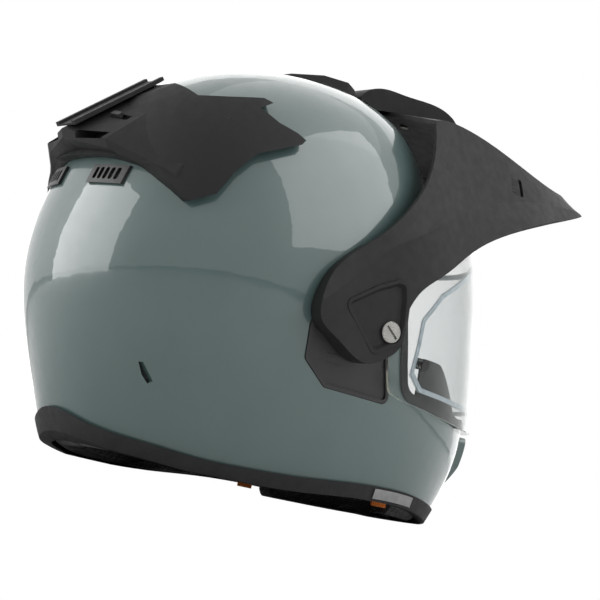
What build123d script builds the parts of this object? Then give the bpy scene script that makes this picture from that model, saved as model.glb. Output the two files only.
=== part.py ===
"""Dual sport helmet: lofted shell, liners, swinging visor, peak with side arms, vents and strap.

The helmet stands on its lower edge, +Z up, with its face towards -Y and its right side at -X.
Side views are given as shares of the half depth (fore and aft) and of the crown's rise or the chin's drop.
"""
from build123d import *
from functools import cache
import math
import os

# Driving sizes of the shell, mm
SHELL_WIDTH = 248.0        # across the widest part of the shell
SHELL_DEPTH = 280.0        # front to rear of the dome, the unit of the fore and aft shares
CROWN_RISE = 138.0         # dome centre up to the crown
CHIN_DROP = 145.0          # dome centre down to the surface that the helmet stands on
DOME_BEHIND = 58.8         # dome axis behind the middle of the helmet's footprint box
SHELL_WALL = 4.0           # laminate thickness
TAG_THICK = 0.7            # tag on the base trim
TAG_RIM = 1.5              # tag's edge in from the trim's edges

# Edge trims
TRIM_PROUD = 2.2           # base trim's wall on either side of the shell
TRIM_COVER = 3.6           # how far the base trim climbs the shell
TRIM_DROP = 6.2            # how far it hangs below the shell's edge
PORT_TRIM_PROUD = 1.2      # eyeport trim's face beyond the shell surface
EDGE_GAP = 0.3             # trims' and fixed skins' clearance to the shell
PORT_TRIM_COVER = 4.0      # how far it covers the shell round the eyeport
PORT_TRIM_LIP = 2.4        # how far it reaches into the eyeport
PORT_CORNER = 13.0         # radius of the eyeport's corners

# Liners and pads
FOAM_GAP = 0.4             # between shell and foam, and between foam and cloth
FOAM_DEPTH = 31.0          # shell surface to the foam's inner face
COMFORT_THICK = 11.0       # padded crown liner
CHANNEL_WIDTH = 9.0        # air channel in the crown liner
CHANNEL_DEPTH = 6.0
CHANNEL_SPREAD = 30.0      # channels' distance from the middle
PAD_CLEAR = 0.8            # between the neck roll and the foam above it
CHIN_FOAM_DEPTH = 22.0     # shell surface to the chin foam's inner face
CHEEK_INNER = 62.0         # cheek pad's inner face from the middle
CHEEK_OUTER = 110.0        # where the pad would end if the shell did not cut it
CHEEK_LENGTH = 90.0
CHEEK_HEIGHT = 57.0
CHEEK_CORNER = 20.0
CHEEK_WALL = 7.0           # cheek pad's outer face in from the shell surface
ROLL_OUTER = 6.6           # neck roll's outer face in from the shell surface
ROLL_DEPTH = 24.0          # neck roll from outer to inner face
ROLL_UNDER = 5.2           # how far it hangs below the shell's edge
ROLL_OVER = 12.0           # and how far it stands above the edge
ROLL_BULGE = 3.0           # height and depth of its rounded edges
CURTAIN_HEIGHT = 11.0      # chin curtain
CURTAIN_DEPTH = 26.0
TAB_WIDTH = 12.0           # release tabs under the cheek pads
TAB_THICK = 1.6
TAB_DROP = 31.8
TAB_OUT = 84.9             # tab's distance from the middle

# Side plates, pivots and screws
PLATE_SINK = 2.6           # depth of the recess in the shell
PLATE_FACE = 0.8           # plate's face below the shell surface
PLATE_RIM = 0.6            # raised rim above the shell surface
RIM_WIDTH = 2.6
PLATE_CORNER = 5.0
PLATE_FIT = 0.3            # gap round the plate in its recess
PIVOT_OUT = 124.3          # flat face of the pivot base, from the middle
PIVOT_RADIUS = 14.0
WEB_OUT = 123.6            # pivot base's web between the boss and the post
WEB_RADIUS = 7.2
BOSS_RADIUS = 8.0
BOSS_PROUD = 4.7           # boss through the visor's ear and hub
FIT_GAP = 0.06             # running clearance of round fits, on the radius
POST_RADIUS = 5.0          # post that takes the side screw
SCREW_HEAD_RADIUS = 7.2
SCREW_HEAD_THICK = 2.2
SCREW_SHANK_RADIUS = 3.0
SCREW_CHAMFER = 0.5
SCREW_TIP = 119.5          # inner end of the screw's shank, from the middle
SLOT_LEAN = 40.0           # turn of the coin slot at rest, degrees
SLOT_WIDTH = 1.8           # coin slot
SLOT_LENGTH = 11.0
SLOT_DEPTH = 1.3

# Visor
VISOR_WIDTH = 254.2        # across the visor's flat ears
VISOR_THICK = 2.2
VISOR_CORNER = 6.0
FRONT_POINTS = 12          # points round the visor's front
EAR_RADIUS = 22.0
LENS_GAP = 1.5             # between visor and inner lens
LENS_THICK = 1.2
SEAL_WIDTH = 3.0
HUB_RADIUS = 12.0          # retaining hub outside the visor's ear
HUB_THICK = 1.6
PIN_RADIUS = 2.4           # pins that hold the inner lens
PIN_HEAD = 3.8
PIN_HEAD_THICK = 1.0

# Peak
PEAK_WALL = 2.8
ARM_WIDTH = 270.0          # across the outer faces of the side arms
FLANGE_WALL = 2.8
POCKET_DEPTH = 4.0
POCKET_FLOOR = 2.4
POCKET_CUP = 5.0           # cup that stands behind the arm's wall
POCKET_SLOPE = 3.0         # how far the pocket's walls lean inwards
POCKET_DRAFT = 38.0        # their lean, degrees
POCKET_CORNER = 4.0
DRAFT = 6.0                # slope of moulded walls, degrees
POCKET_INNER = 129.4       # inner face of the pocket's floor, from the middle
FLANGE_CLEAR = 1.2         # arm flange above the shell surface
BRIDGE_WALL = 2.6
BRIDGE_REAR = 22.0         # half widths of the bridge
BRIDGE_FRONT = 36.0
BRIDGE_RIB = 9.0           # half width of the bridge's middle rib, which the bolt runs through
BOLT_LENGTH = 13.0
GUARD_INSET = 5.5          # breath guard's outer face in from the shell surface
GUARD_WALL = 2.4
GRILLE_BARS = 5
GRILLE_RIB = 1.8
CHIN_GRILLE_COUNT = 5

# Vents
VENT_CORNER = 4.0
REAR_DUCT_HALF = 13.0
RAIL_WIDTH = 4.0           # rails along the rear duct's sides
SPOILER_TALL = 6.5
CHIN_VENT_PROUD = 6.0
BROW_VENT_PROUD = 4.5
BROW_MOUTH_RIM = 1.5
GRILLE_PROUD = 3.6         # grilles' face above the shell surface
GRILLE_THICK = 1.8
KNOB_CLEAR = 0.35          # knobs' gap in their slots
KNOB_WIDTH = 5.0
KNOB_LENGTH = 9.0
KNOB_PROUD = 2.4
KNOB_SUNK = 2.0
TOP_TRAVEL = 8.0
EXHAUST_TRAVEL = 8.0
EXHAUST_KNOB_OUT = 22.0
EXHAUST_KNOB_SHARE = 0.62  # down the spoiler's rear face
CHIN_TRAVEL = 4.0
BROW_TRAVEL = 5.0
GRILLE_PITCH = 5.0
GRILLE_HOLE = 3.4

# Chin strap
STRAP_WIDTH = 24.0
STRAP_THICK = 2.2
STRAP_BEND = 6.0
STRAP_ROOM = 100.8         # straps' outer ends from the middle
STRAP_TURN = 70.0          # where they turn down past the neck roll
STRAP_LEVEL = 58.0         # where they run level again
STRAP_RING_END = 46.0      # where the ring side ends in its loop
STRAP_LOW = 14.0           # how far the straps hang below their ends
ANCHOR_THICK = 1.8         # anchor plates on the shell's inner wall
RING_LENGTH = 34.0
RING_REACH = 22.0
RING_BAR = 3.2
RING_GAP = 0.6
RING_ROUND = 1.5
SNAP_RADIUS = 6.0
SNAP_THICK = 2.6
SNAP_OUT = 10.0            # snap's distance from the middle
LOOP_ROOM = 0.4            # webbing loop's gap round the ring bars

OVER = 20.0                # overrun of cuts
SECTION_POINTS = 16        # points round one section of the shell
ROUNDNESS = 2.2            # exponent of the shell's superellipse sections

HALF_WIDTH = SHELL_WIDTH / 2
HALF_DEPTH = SHELL_DEPTH / 2
DOME_Y = DOME_BEHIND
DOME_Z = CHIN_DROP
SKY = DOME_Z + CROWN_RISE + OVER
FAR_FRONT = -2 * HALF_DEPTH
FAR_REAR = 2 * HALF_DEPTH

# Shell sections from the standing surface to the crown: height, centre, front, rear, width
FORM_SHARES = [
    (-1.000, -0.268, 1.014, 0.950, 0.809),
    (-0.786, -0.240, 1.136, 1.024, 0.867),
    (-0.510, -0.141, 1.265, 1.027, 0.934),
    (-0.234, -0.058, 1.184, 1.010, 0.985),
    (0.043, -0.034, 1.026, 0.975, 0.999),
    (0.333, -0.079, 0.901, 0.941, 0.956),
    (0.623, -0.126, 0.759, 0.826, 0.821),
    (0.825, -0.161, 0.590, 0.638, 0.635),
    (0.898, -0.171, 0.479, 0.511, 0.517),
    (0.956, -0.183, 0.340, 0.344, 0.373),
    (0.992, -0.193, 0.179, 0.161, 0.190),
    (1.000, -0.196, 0.043, 0.043, 0.048),
]

# Side view outlines, as shares
EDGE_SHARES = [
    (0.96, -0.78), (0.80, -0.834), (0.743, -0.883), (0.643, -0.921), (0.50, -0.941), (0.321, -0.959),
    (0.071, -0.959), (-0.179, -0.948), (-0.407, -0.928), (-0.629, -0.914), (-0.929, -0.917),
    (-1.11, -0.938), (-1.50, -0.975),
]
EYEPORT_SHARES = [
    (-1.71, -0.483), (-1.41, -0.483), (-1.14, -0.503), (-0.85, -0.472), (-0.643, -0.455), (-0.60, -0.331),
    (-0.55, -0.138), (-0.543, 0.058), (-0.771, 0.188), (-1.01, 0.275), (-1.71, 0.521),
]
FACE_SHARES = [
    (-1.71, 0.333), (-0.643, 0.246), (-0.471, 0.072), (-0.443, -0.30), (-0.043, -0.335), (-0.014, -1.05),
    (-1.71, -1.05),
]
CHIN_FOAM_SHARES = [(-1.71, -0.555), (-0.82, -0.55), (-0.82, -0.85), (-1.11, -0.89), (-1.71, -0.91)]
GUARD_SHARES = [
    (-0.76, -0.535), (-0.771, -0.262), (-1.00, -0.255), (-1.09, -0.29), (-1.25, -0.359), (-1.50, -0.414),
    (-1.50, -0.537),
]
PLATE_SHARES = [
    (-0.457, -0.138), (-0.471, -0.29), (-0.557, -0.524), (-0.157, -0.514), (-0.014, -0.41), (0.007, -0.262),
    (-0.021, -0.055), (-0.157, 0.058), (-0.357, 0.065), (-0.443, -0.02),
]
VISOR_SHARES = [
    (-0.20, 0.051), (-0.357, 0.058), (-0.457, 0.101), (-0.679, 0.275), (-0.964, 0.391), (-1.25, 0.434),
    (-1.71, 0.434), (-1.71, -0.531), (-1.43, -0.531), (-1.12, -0.538), (-0.80, -0.51), (-0.60, -0.49),
    (-0.514, -0.469), (-0.471, -0.379), (-0.45, -0.276), (-0.443, -0.179), (-0.357, -0.159), (-0.20, -0.138),
]
LENS_SHARES = [
    (-1.71, 0.23), (-1.04, 0.25), (-0.714, 0.03), (-0.61, -0.11), (-0.62, -0.36), (-0.714, -0.43),
    (-1.03, -0.445), (-1.71, -0.441),
]
ARM_SHARES = [
    (-0.63, 0.87), (-0.50, 0.492), (-0.414, 0.384), (-0.257, 0.217), (-0.114, 0.094), (-0.027, 0.001),
    (0.02, -0.103), (0.012, -0.232), (-0.093, -0.303), (-0.234, -0.374), (-0.294, -0.377), (-0.361, -0.348),
    (-0.421, -0.309), (-0.458, -0.252), (-0.454, -0.166), (-0.475, -0.074), (-0.525, 0.004), (-0.614, 0.08),
    (-0.743, 0.174), (-0.875, 0.277), (-1.16, 0.44), (-1.50, 0.576), (-1.84, 0.70), (-1.92, 0.74),
    (-1.92, 1.10), (-0.70, 1.10),
]
FLANGE_SHARES = [(-0.171, 0.25), (0.10, 0.25), (0.10, -0.45), (-0.33, -0.45), (-0.33, -0.30), (-0.171, -0.10)]
POCKET_SHARES = [
    (-0.11, -0.134), (-0.274, -0.03), (-0.378, 0.018), (-0.424, 0.012), (-0.441, -0.054), (-0.453, -0.161),
    (-0.446, -0.243), (-0.306, -0.326),
]
SPOILER_SHARES = [
    (0.78, 0.80), (0.75, 0.65), (0.60, 0.765), (0.573, 0.70), (0.47, 0.716), (0.32, 0.745), (0.284, 0.728),
    (0.35, 0.686), (0.28, 0.628),
    (0.199, 0.596), (0.163, 0.57), (0.185, 0.544), (0.266, 0.507), (0.394, 0.446), (0.485, 0.346),
    (0.562, 0.214), (0.661, 0.157), (0.741, 0.24), (0.787, 0.298), (0.851, 0.336), (1.06, 0.36), (1.06, 0.80),
]
SLIT_SHARES = [(0.660, -0.574), (0.645, -0.570), (0.585, -0.645), (0.60, -0.66), (0.632, -0.625)]
PIVOT_SHARE = (-0.20, -0.103)
SCREW_SHARE = (-0.386, -0.215)
PIN_SHARE = (-0.68, -0.31)
CHEEK_SHARE = (-0.386, -0.53)
STRAP_SHARE = (-0.18, -0.776)
TAB_SHARE = (-0.729, -0.976)
LIFT_ACROSS = 0.50         # lifting tab on the wearer's left, as a share of the half width
LIFT_HALF = 0.09
LIFT_HEIGHTS = (-0.535, -0.46)
ROLL_SHARES = [(-0.54, -1.05), (-0.54, 0), (1.20, 0), (1.20, -1.05)]
CURTAIN_SHARES = [(-0.80, -1.05), (-0.84, 0), (-1.60, 0), (-1.60, -1.05)]
SEAT_SHARE = 0.93
PEAK_SKIRT = 0.20
ARM_POINTS = 23            # points of the arms' and peak's lower outline

# Peak's stations from tip to arm: fore and aft, height of the crown, then half width and height
# of the ridge, the crease and the lower edge
PEAK_SHARES = [
    (-1.86, 0.745, 0.20, 0.733, 0.33, 0.710, 0.38, 0.67),
    (-1.69, 0.812, 0.31, 0.793, 0.40, 0.710, 0.47, 0.62),
    (-1.40, 0.862, 0.43, 0.826, 0.53, 0.667, 0.62, 0.55),
    (-1.09, 0.942, 0.52, 0.884, 0.65, 0.580, 0.74, 0.41),
    (-0.79, 0.985, 0.60, 0.913, 0.80, 0.449, 0.87, 0.20),
    (-0.63, 0.985, 0.66, 0.884, 0.889, 0.362, 0.963, 0.02),
    (-0.47, 0.971, 0.77, 0.768, 0.956, 0.261, 0.985, -0.15),
    (-0.29, 0.942, 0.889, 0.580, 0.978, 0.145, 0.996, -0.42),
    (-0.057, 0.90, 0.933, 0.362, 0.993, -0.087, 1.0, -0.43),
    (0.10, 0.88, 0.941, 0.326, 0.996, -0.13, 1.0, -0.43),
]

# Visor sections: height, front reach and width, as shares
VISOR_FORM_SHARES = [
    (-0.60, 1.457, 0.925), (-0.531, 1.452, 0.93), (-0.379, 1.419, 0.955), (-0.241, 1.382, 0.987),
    (-0.103, 1.348, 1.0), (0.10, 1.307, 1.0), (0.203, 1.283, 0.98), (0.34, 1.245, 0.93), (0.48, 1.198, 0.87),
]
VISOR_BACK_SHARE = 0.10    # where the visor's flat sides would end
VISOR_TURN_SHARE = -0.32   # where they start to curve inwards

# Spoiler's ridge sections: share of the half width, then side view points
RIDGE_SHARES = [
    (0.00, [(0.50, 0.65), (0.60, 0.775), (1.02, 0.442), (1.007, 0.40), (0.75, 0.33)]),
    (0.33, [(0.45, 0.63), (0.575, 0.735), (0.936, 0.40), (0.914, 0.36), (0.71, 0.29)]),
    (0.54, [(0.38, 0.57), (0.525, 0.68), (0.807, 0.33), (0.79, 0.295), (0.65, 0.27)]),
    (0.70, [(0.36, 0.54), (0.486, 0.608), (0.721, 0.275), (0.707, 0.246), (0.61, 0.217)]),
]


def spot(share):
    """Side view point (fore and aft, height) from its shares."""
    rise = CROWN_RISE if share[1] > 0 else CHIN_DROP
    return (DOME_Y + share[0] * HALF_DEPTH, DOME_Z + share[1] * rise)


def spots(shares):
    return [spot(share) for share in shares]


def section(row, grow):
    """Superellipse points of one shell section, moved outwards by grow."""
    half = row[4] * HALF_WIDTH + grow * row[4]
    points = []
    for k in range(SECTION_POINTS):
        angle = 2 * math.pi * k / SECTION_POINTS
        across, along = math.cos(angle), math.sin(angle)
        share = row[3] if along > 0 else row[2]
        reach = share * HALF_DEPTH + grow * min(1, share)
        points.append((
            half * math.copysign(abs(across) ** (2 / ROUNDNESS), across),
            DOME_Y + row[1] * HALF_DEPTH + reach * math.copysign(abs(along) ** (2 / ROUNDNESS), along),
        ))
    return points


def height_of(share, grow=0):
    """Height above the standing surface of a section's height share."""
    return DOME_Z + (share * (CROWN_RISE + grow) if share > 0 else share * CHIN_DROP)


@cache
def shell_form(grow):
    """The shell's closed outer form, with every section moved outwards by grow."""
    with BuildPart() as form:
        for row in FORM_SHARES:
            with BuildSketch(Plane.XY.offset(height_of(row[0], grow))):
                with BuildLine():
                    Spline(*section(row, grow), periodic=True)
                make_face()
        loft()
    return form.part


def row_at(height):
    """Section shares at any height below the crown, between the tabled rows."""
    share = (height - DOME_Z) / (CROWN_RISE if height > DOME_Z else CHIN_DROP)
    for low, high in zip(FORM_SHARES, FORM_SHARES[1:]):
        if share <= high[0]:
            part = (share - low[0]) / (high[0] - low[0])
            return [a + (b - a) * part for a, b in zip(low, high)]
    return FORM_SHARES[-1]


def roll_ring(heights, outer, inner):
    """A padded ring that follows the shell: its outer and inner faces bulge with the height."""
    with BuildPart() as ring:
        for reach, mode in ((outer, Mode.ADD), (inner, Mode.SUBTRACT)):
            for height, inset in zip(heights, reach):
                with BuildSketch(Plane.XY.offset(height)):
                    with BuildLine():
                        Spline(*section(row_at(height), -inset), periodic=True)
                    make_face()
            loft(mode=mode)
    return ring.part


def slab(points, reach=SHELL_WIDTH, grow=0, corner=0, start=0, both=True):
    """A side view outline, rounded and offset, stood out along X from a plane at start."""
    with BuildPart() as body:
        with BuildSketch(Plane.YZ.offset(start)) as sketch:
            with BuildLine():
                Polyline(*points, close=True)
            make_face()
            if corner:
                fillet(sketch.vertices(), corner)
            if grow:
                offset(amount=grow, kind=Kind.INTERSECTION)
        extrude(amount=reach, both=both)
    return body.part


@cache
def above_edge(lift):
    """Everything above the shell's lower edge, which is raised by lift."""
    line = [(y, z + lift) for y, z in spots(EDGE_SHARES)]
    with BuildPart() as body:
        with BuildSketch(Plane.YZ):
            with BuildLine():
                Spline(*line)
                Polyline(line[-1], (FAR_FRONT, line[-1][1]), (FAR_FRONT, SKY), (FAR_REAR, SKY),
                         (FAR_REAR, line[0][1]), line[0])
            make_face()
        extrude(amount=SHELL_WIDTH, both=True)
    return body.part


@cache
def shell_wall(outer=0, inner=SHELL_WALL):
    """The hollow shell before its openings are cut."""
    with BuildPart() as wall:
        add(shell_form(outer))
        add(shell_form(-inner), mode=Mode.SUBTRACT)
    return wall.part


def eyeport(grow=0):
    return slab(spots(EYEPORT_SHARES), grow=grow, corner=PORT_CORNER)


def side_disc(place, radius, start, length):
    """A disc on an X axis through a side view place, on the left side."""
    with BuildPart() as disc:
        with BuildSketch(Plane.YZ.offset(start)):
            with Locations(place):
                Circle(radius)
        extrude(amount=length)
    return disc.part


def front_slab(points, depth=SHELL_DEPTH, grow=0, corner=0):
    """A front view outline (across, height) stood forwards from the dome's axis."""
    with BuildPart() as body:
        with BuildSketch(Plane.XZ.offset(-DOME_Y)) as sketch:
            with BuildLine():
                Polyline(*points, close=True)
            make_face()
            if corner:
                fillet(sketch.vertices(), corner)
            if grow:
                offset(amount=grow, kind=Kind.INTERSECTION)
        extrude(amount=depth)
    return body.part


def front_spot(share):
    rise = CROWN_RISE if share[1] > 0 else CHIN_DROP
    return (share[0] * HALF_WIDTH, DOME_Z + share[1] * rise)


def front_spots(shares):
    """A mirrored front view outline from the shares of its right half."""
    half = [front_spot(share) for share in shares]
    return [(-x, z) for x, z in half] + half[::-1]


CHIN_VENT_SHARES = [(0.37, -0.545), (0.33, -0.69), (0.18, -0.80)]
CHIN_MOUTH_SHARES = [(0.26, -0.58), (0.22, -0.68)]
BROW_VENT_SHARES = [(0.32, 0.40), (0.40, 0.54), (0.25, 0.68)]
BROW_MOUTH_SHARES = [(0.27, 0.43), (0.29, 0.48)]
CHIN_KNOB_SHARE = (0, -0.74)
BROW_KNOB_SHARE = (0.17, 0.55)
TOP_KNOB_SHARE = (-0.36, 1.049)
TOP_VENT_SIDE = [
    (-0.09, 0.93), (-0.10, 1.016), (-0.27, 1.051), (-0.40, 1.047), (-0.443, 1.022), (-0.46, 0.99), (-0.54, 0.968),
    (-0.56, 0.88),
]
TOP_VENT_PLAN = [(0.12, -0.08), (0.15, -0.20), (0.195, -0.40), (0.19, -0.46), (0.15, -0.56)]
BRIDGE_SIDE = [(-0.49, 1.00), (-0.53, 1.045), (-0.60, 1.068), (-0.72, 1.062), (-0.93, 1.041), (-1.02, 0.985)]
PEAK_HOLE = ((-1.31, 0.667), (-1.22, 0.76))
BRIDGE_FOOT = 0.85          # height under the peak's crown where the bridge is trimmed, as a share
BOLT_SHARE = (-0.89, 1.04)
BOLT_LEAN = 5.0            # degrees
TOP_MOUTH = ((-0.13, 0.13), (-0.48, -0.36), (0.995, 1.02))
SPOILER_MOUTH = ((0.10, 0.30), (0.88, 1.10), (0.40, 0.44))
DUCT_SHARES = [(1.0, 0.46), (1.013, 0.477), (0.596, 0.807), (0.585, 0.793), (0.60, 0.7785)]
CHANNEL_SHARES = [(1.006, 0.467), (1.08, 0.55), (0.60, 0.90), (0.54, 0.80), (0.5985, 0.791)]
GRILLE_ROOM = ((0.16, 0.42), (0.60, 1.10), (0.20, 0.295))
GRILLE_MIDDLE = (0.29, 0.25)
CHIN_GRILLE_MIDDLE = -0.628

bolt_plane = Plane(origin=(0, *spot(BOLT_SHARE)), x_dir=(1, 0, 0),
                   z_dir=(0, -math.sin(math.radians(BOLT_LEAN)), math.cos(math.radians(BOLT_LEAN))))
with BuildPart() as bolt_room:
    with BuildSketch(bolt_plane):
        Circle(SCREW_SHANK_RADIUS + FIT_GAP)
    extrude(amount=2 * BOLT_LENGTH, both=True)
bridge_bolt_hole = bolt_room.part

PIVOT = spot(PIVOT_SHARE)
SCREW = spot(SCREW_SHARE)
LENS_PIN = spot(PIN_SHARE)

pieces = {}


def keep(name, part):
    """Names a finished piece."""
    part.label = name
    pieces[name] = part


def knob(place, normal, along, travel, width=KNOB_WIDTH, length=KNOB_LENGTH):
    """A slider's knob and the slot that it runs in, on a face at place."""
    face = Plane(origin=place, x_dir=along, z_dir=normal)
    with BuildPart() as body:
        with BuildSketch(face.offset(-KNOB_SUNK)):
            RectangleRounded(length, width, min(length, width) / 4)
        extrude(amount=KNOB_SUNK + KNOB_PROUD, taper=6)
    with BuildPart() as slot:
        with BuildSketch(face.offset(-KNOB_SUNK - KNOB_CLEAR)):
            with Locations((travel / 2, 0)):
                Rectangle(length + travel + 2 * KNOB_CLEAR, width + 2 * KNOB_CLEAR)
        extrude(amount=KNOB_SUNK + OVER)
    return body.part, slot.part


def mirrored(part):
    """The same piece on the other side of the helmet."""
    return mirror(part, about=Plane.YZ)


def both_sides(part):
    return [part, mirrored(part)]


def skin(outer, inner, *cutters):
    """A layer between two offsets of the shell form, kept only where all cutters overlap."""
    with BuildPart() as layer:
        add(shell_form(outer))
        for cutter in cutters:
            add(cutter, mode=Mode.INTERSECT)
        add(shell_form(inner), mode=Mode.SUBTRACT)
    return layer.part


def block(x_share, y_share, z_share):
    """A box between two shares along each axis."""
    xs = [share * HALF_WIDTH for share in x_share]
    low, high = spot((y_share[0], z_share[0])), spot((y_share[1], z_share[1]))
    with BuildPart() as box:
        with BuildSketch(Plane.XY.offset(low[1])):
            with Locations(((xs[0] + xs[1]) / 2, (low[0] + high[0]) / 2)):
                Rectangle(xs[1] - xs[0], high[0] - low[0])
        extrude(amount=high[1] - low[1])
    return box.part


def tube_cut(place, radius):
    return side_disc(place, radius, 0, SHELL_WIDTH)


# Outer shell with recesses for the side plates and its air openings
with BuildPart() as recess:
    add(slab(spots(PLATE_SHARES), grow=PLATE_FIT, corner=PLATE_CORNER, start=HALF_WIDTH / 2,
             reach=HALF_WIDTH, both=False))
    add(shell_form(-PLATE_SINK), mode=Mode.SUBTRACT)
exhaust_hole = block((0.18, 0.40), (0.70, 1.20), (0.215, 0.285))
crown_hole = block((-0.11, 0.11), (-0.36, -0.22), (0.80, 1.20))
with BuildPart() as outer_shell:
    add(shell_wall())
    add(above_edge(0), mode=Mode.INTERSECT)
    add(eyeport(), mode=Mode.SUBTRACT)
    add(both_sides(recess.part), mode=Mode.SUBTRACT)
    add([slab(spots(SLIT_SHARES)), front_slab(front_spots(CHIN_MOUTH_SHARES), grow=-GRILLE_PITCH),
         front_slab(front_spots(BROW_MOUTH_SHARES), grow=-BROW_MOUTH_RIM), crown_hole,
         *both_sides(exhaust_hole)], mode=Mode.SUBTRACT)
keep("outer_shell", outer_shell.part)

# Edge trims
shell_room = skin(EDGE_GAP, -SHELL_WALL - EDGE_GAP, above_edge(-EDGE_GAP))
with BuildPart() as base_trim:
    add(skin(TRIM_PROUD, -SHELL_WALL - TRIM_PROUD, above_edge(-TRIM_DROP)))
    add(above_edge(TRIM_COVER), mode=Mode.SUBTRACT)
    add(shell_room, mode=Mode.SUBTRACT)
keep("base_trim", base_trim.part)

with BuildPart() as port_room:
    add(skin(EDGE_GAP, -SHELL_WALL - EDGE_GAP, eyeport(PORT_TRIM_COVER + PORT_TRIM_LIP)))
    add(eyeport(-EDGE_GAP), mode=Mode.SUBTRACT)
with BuildPart() as eyeport_trim:
    add(skin(PORT_TRIM_PROUD, -SHELL_WALL - PORT_TRIM_PROUD, eyeport(PORT_TRIM_COVER)))
    add(eyeport(-PORT_TRIM_LIP), mode=Mode.SUBTRACT)
    add(port_room.part, mode=Mode.SUBTRACT)
keep("eyeport_trim", eyeport_trim.part)

tag_room = block((-1.2, 0), (-0.90, -0.614), (-0.96, -0.885))
with BuildPart() as trim_tag:
    add(skin(TRIM_PROUD + EDGE_GAP + TAG_THICK, TRIM_PROUD + EDGE_GAP, tag_room))
    add(above_edge(-TRIM_DROP + TAG_RIM), mode=Mode.INTERSECT)
    add(above_edge(TRIM_COVER - TAG_RIM), mode=Mode.SUBTRACT)
keep("trim_tag", trim_tag.part)

# Impact liners
foam_inset = SHELL_WALL + FOAM_GAP
with BuildPart() as eps_liner:
    add(shell_form(-foam_inset))
    add(above_edge(ROLL_OVER + PAD_CLEAR), mode=Mode.INTERSECT)
    add([slab(spots(FACE_SHARES)), eyeport(PORT_TRIM_COVER + TRIM_PROUD)], mode=Mode.SUBTRACT)
    add(shell_form(-FOAM_DEPTH), mode=Mode.SUBTRACT)
keep("eps_liner", eps_liner.part)

with BuildPart() as chin_eps:
    add(shell_form(-foam_inset))
    add(slab(spots(CHIN_FOAM_SHARES)), mode=Mode.INTERSECT)
    add(shell_form(-CHIN_FOAM_DEPTH), mode=Mode.SUBTRACT)
    add(front_slab(front_spots(CHIN_MOUTH_SHARES), grow=-GRILLE_PITCH), mode=Mode.SUBTRACT)
keep("chin_eps", chin_eps.part)

comfort_outer = FOAM_DEPTH + FOAM_GAP
with BuildPart() as channels:
    with BuildSketch(Plane.XY.offset(DOME_Z)):
        with Locations((-CHANNEL_SPREAD, DOME_Y), (CHANNEL_SPREAD, DOME_Y)):
            Rectangle(CHANNEL_WIDTH, SHELL_DEPTH)
    extrude(amount=CROWN_RISE)
    add(shell_form(-comfort_outer - COMFORT_THICK + CHANNEL_DEPTH), mode=Mode.INTERSECT)
with BuildPart() as comfort_liner:
    add(shell_form(-comfort_outer))
    add(block((-1, 1), (-1.10, 1.10), (-0.27, 1.10)), mode=Mode.INTERSECT)
    add([slab(spots(FACE_SHARES)), eyeport(PORT_TRIM_COVER + TRIM_PROUD)], mode=Mode.SUBTRACT)
    add(shell_form(-comfort_outer - COMFORT_THICK), mode=Mode.SUBTRACT)
    add(channels.part, mode=Mode.SUBTRACT)
keep("comfort_liner", comfort_liner.part)

# Soft pads round the opening
with BuildPart() as neck_roll:
    for low, high, inset in ((-ROLL_UNDER, ROLL_OVER, ROLL_BULGE),
                             (ROLL_BULGE - ROLL_UNDER, ROLL_OVER - ROLL_BULGE, 0)):
        with BuildPart(mode=Mode.PRIVATE) as band:
            add(skin(-ROLL_OUTER - inset, -ROLL_OUTER - ROLL_DEPTH + inset, above_edge(low)))
            add(above_edge(high), mode=Mode.SUBTRACT)
        add(band.part)
    add(slab(spots(ROLL_SHARES)), mode=Mode.INTERSECT)
keep("neck_roll", neck_roll.part)

curtain_heights = [share * CURTAIN_HEIGHT for share in (0, 0.3, 1)]
with BuildPart() as chin_curtain:
    add(roll_ring(curtain_heights, [ROLL_OUTER + ROLL_BULGE, ROLL_OUTER, ROLL_OUTER],
                  [CURTAIN_DEPTH, CURTAIN_DEPTH, CURTAIN_DEPTH - ROLL_BULGE]))
    add(slab(spots(CURTAIN_SHARES)), mode=Mode.INTERSECT)
keep("chin_curtain", chin_curtain.part)

cheek = spot(CHEEK_SHARE)
with BuildPart() as cheek_pad:
    for step, scale in ((0, 0.62), (0.12, 0.86), (0.35, 1), (1, 1)):
        with BuildSketch(Plane.YZ.offset(CHEEK_INNER + step * (CHEEK_OUTER - CHEEK_INNER))):
            with Locations(cheek):
                RectangleRounded(scale * CHEEK_LENGTH, scale * CHEEK_HEIGHT, scale * CHEEK_CORNER)
    loft()
    add(shell_form(-CHEEK_WALL), mode=Mode.INTERSECT)
keep("cheek_pad_left", cheek_pad.part)
keep("cheek_pad_right", mirrored(cheek_pad.part))

tab_foot = spot(TAB_SHARE)
with BuildPart() as emergency_tabs:
    with BuildSketch(Plane.YZ.offset(TAB_OUT)):
        with Locations((tab_foot[0], tab_foot[1] + TAB_DROP / 2)):
            RectangleRounded(TAB_WIDTH, TAB_DROP, TAB_WIDTH / 4)
    extrude(amount=TAB_THICK)
    mirror(about=Plane.YZ)
keep("emergency_tabs", emergency_tabs.part)

# Chin strap: webbing, wall anchors and double rings
strap_y, strap_z = spot(STRAP_SHARE)
strap_low = strap_z - STRAP_LOW * 0.7


def webbing(*path):
    """A webbing band along a side to side path, given as (across, height) points."""
    line_plane = Plane.XZ.offset(-strap_y)
    with BuildPart() as band:
        with BuildLine(line_plane) as line:
            FilletPolyline(*path, radius=STRAP_BEND)
        start = Plane(origin=line.line @ 0, x_dir=(0, 1, 0), z_dir=line.line % 0)
        with BuildSketch(start):
            Rectangle(STRAP_WIDTH, STRAP_THICK)
        sweep(path=line.line)
    return band.part


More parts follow.
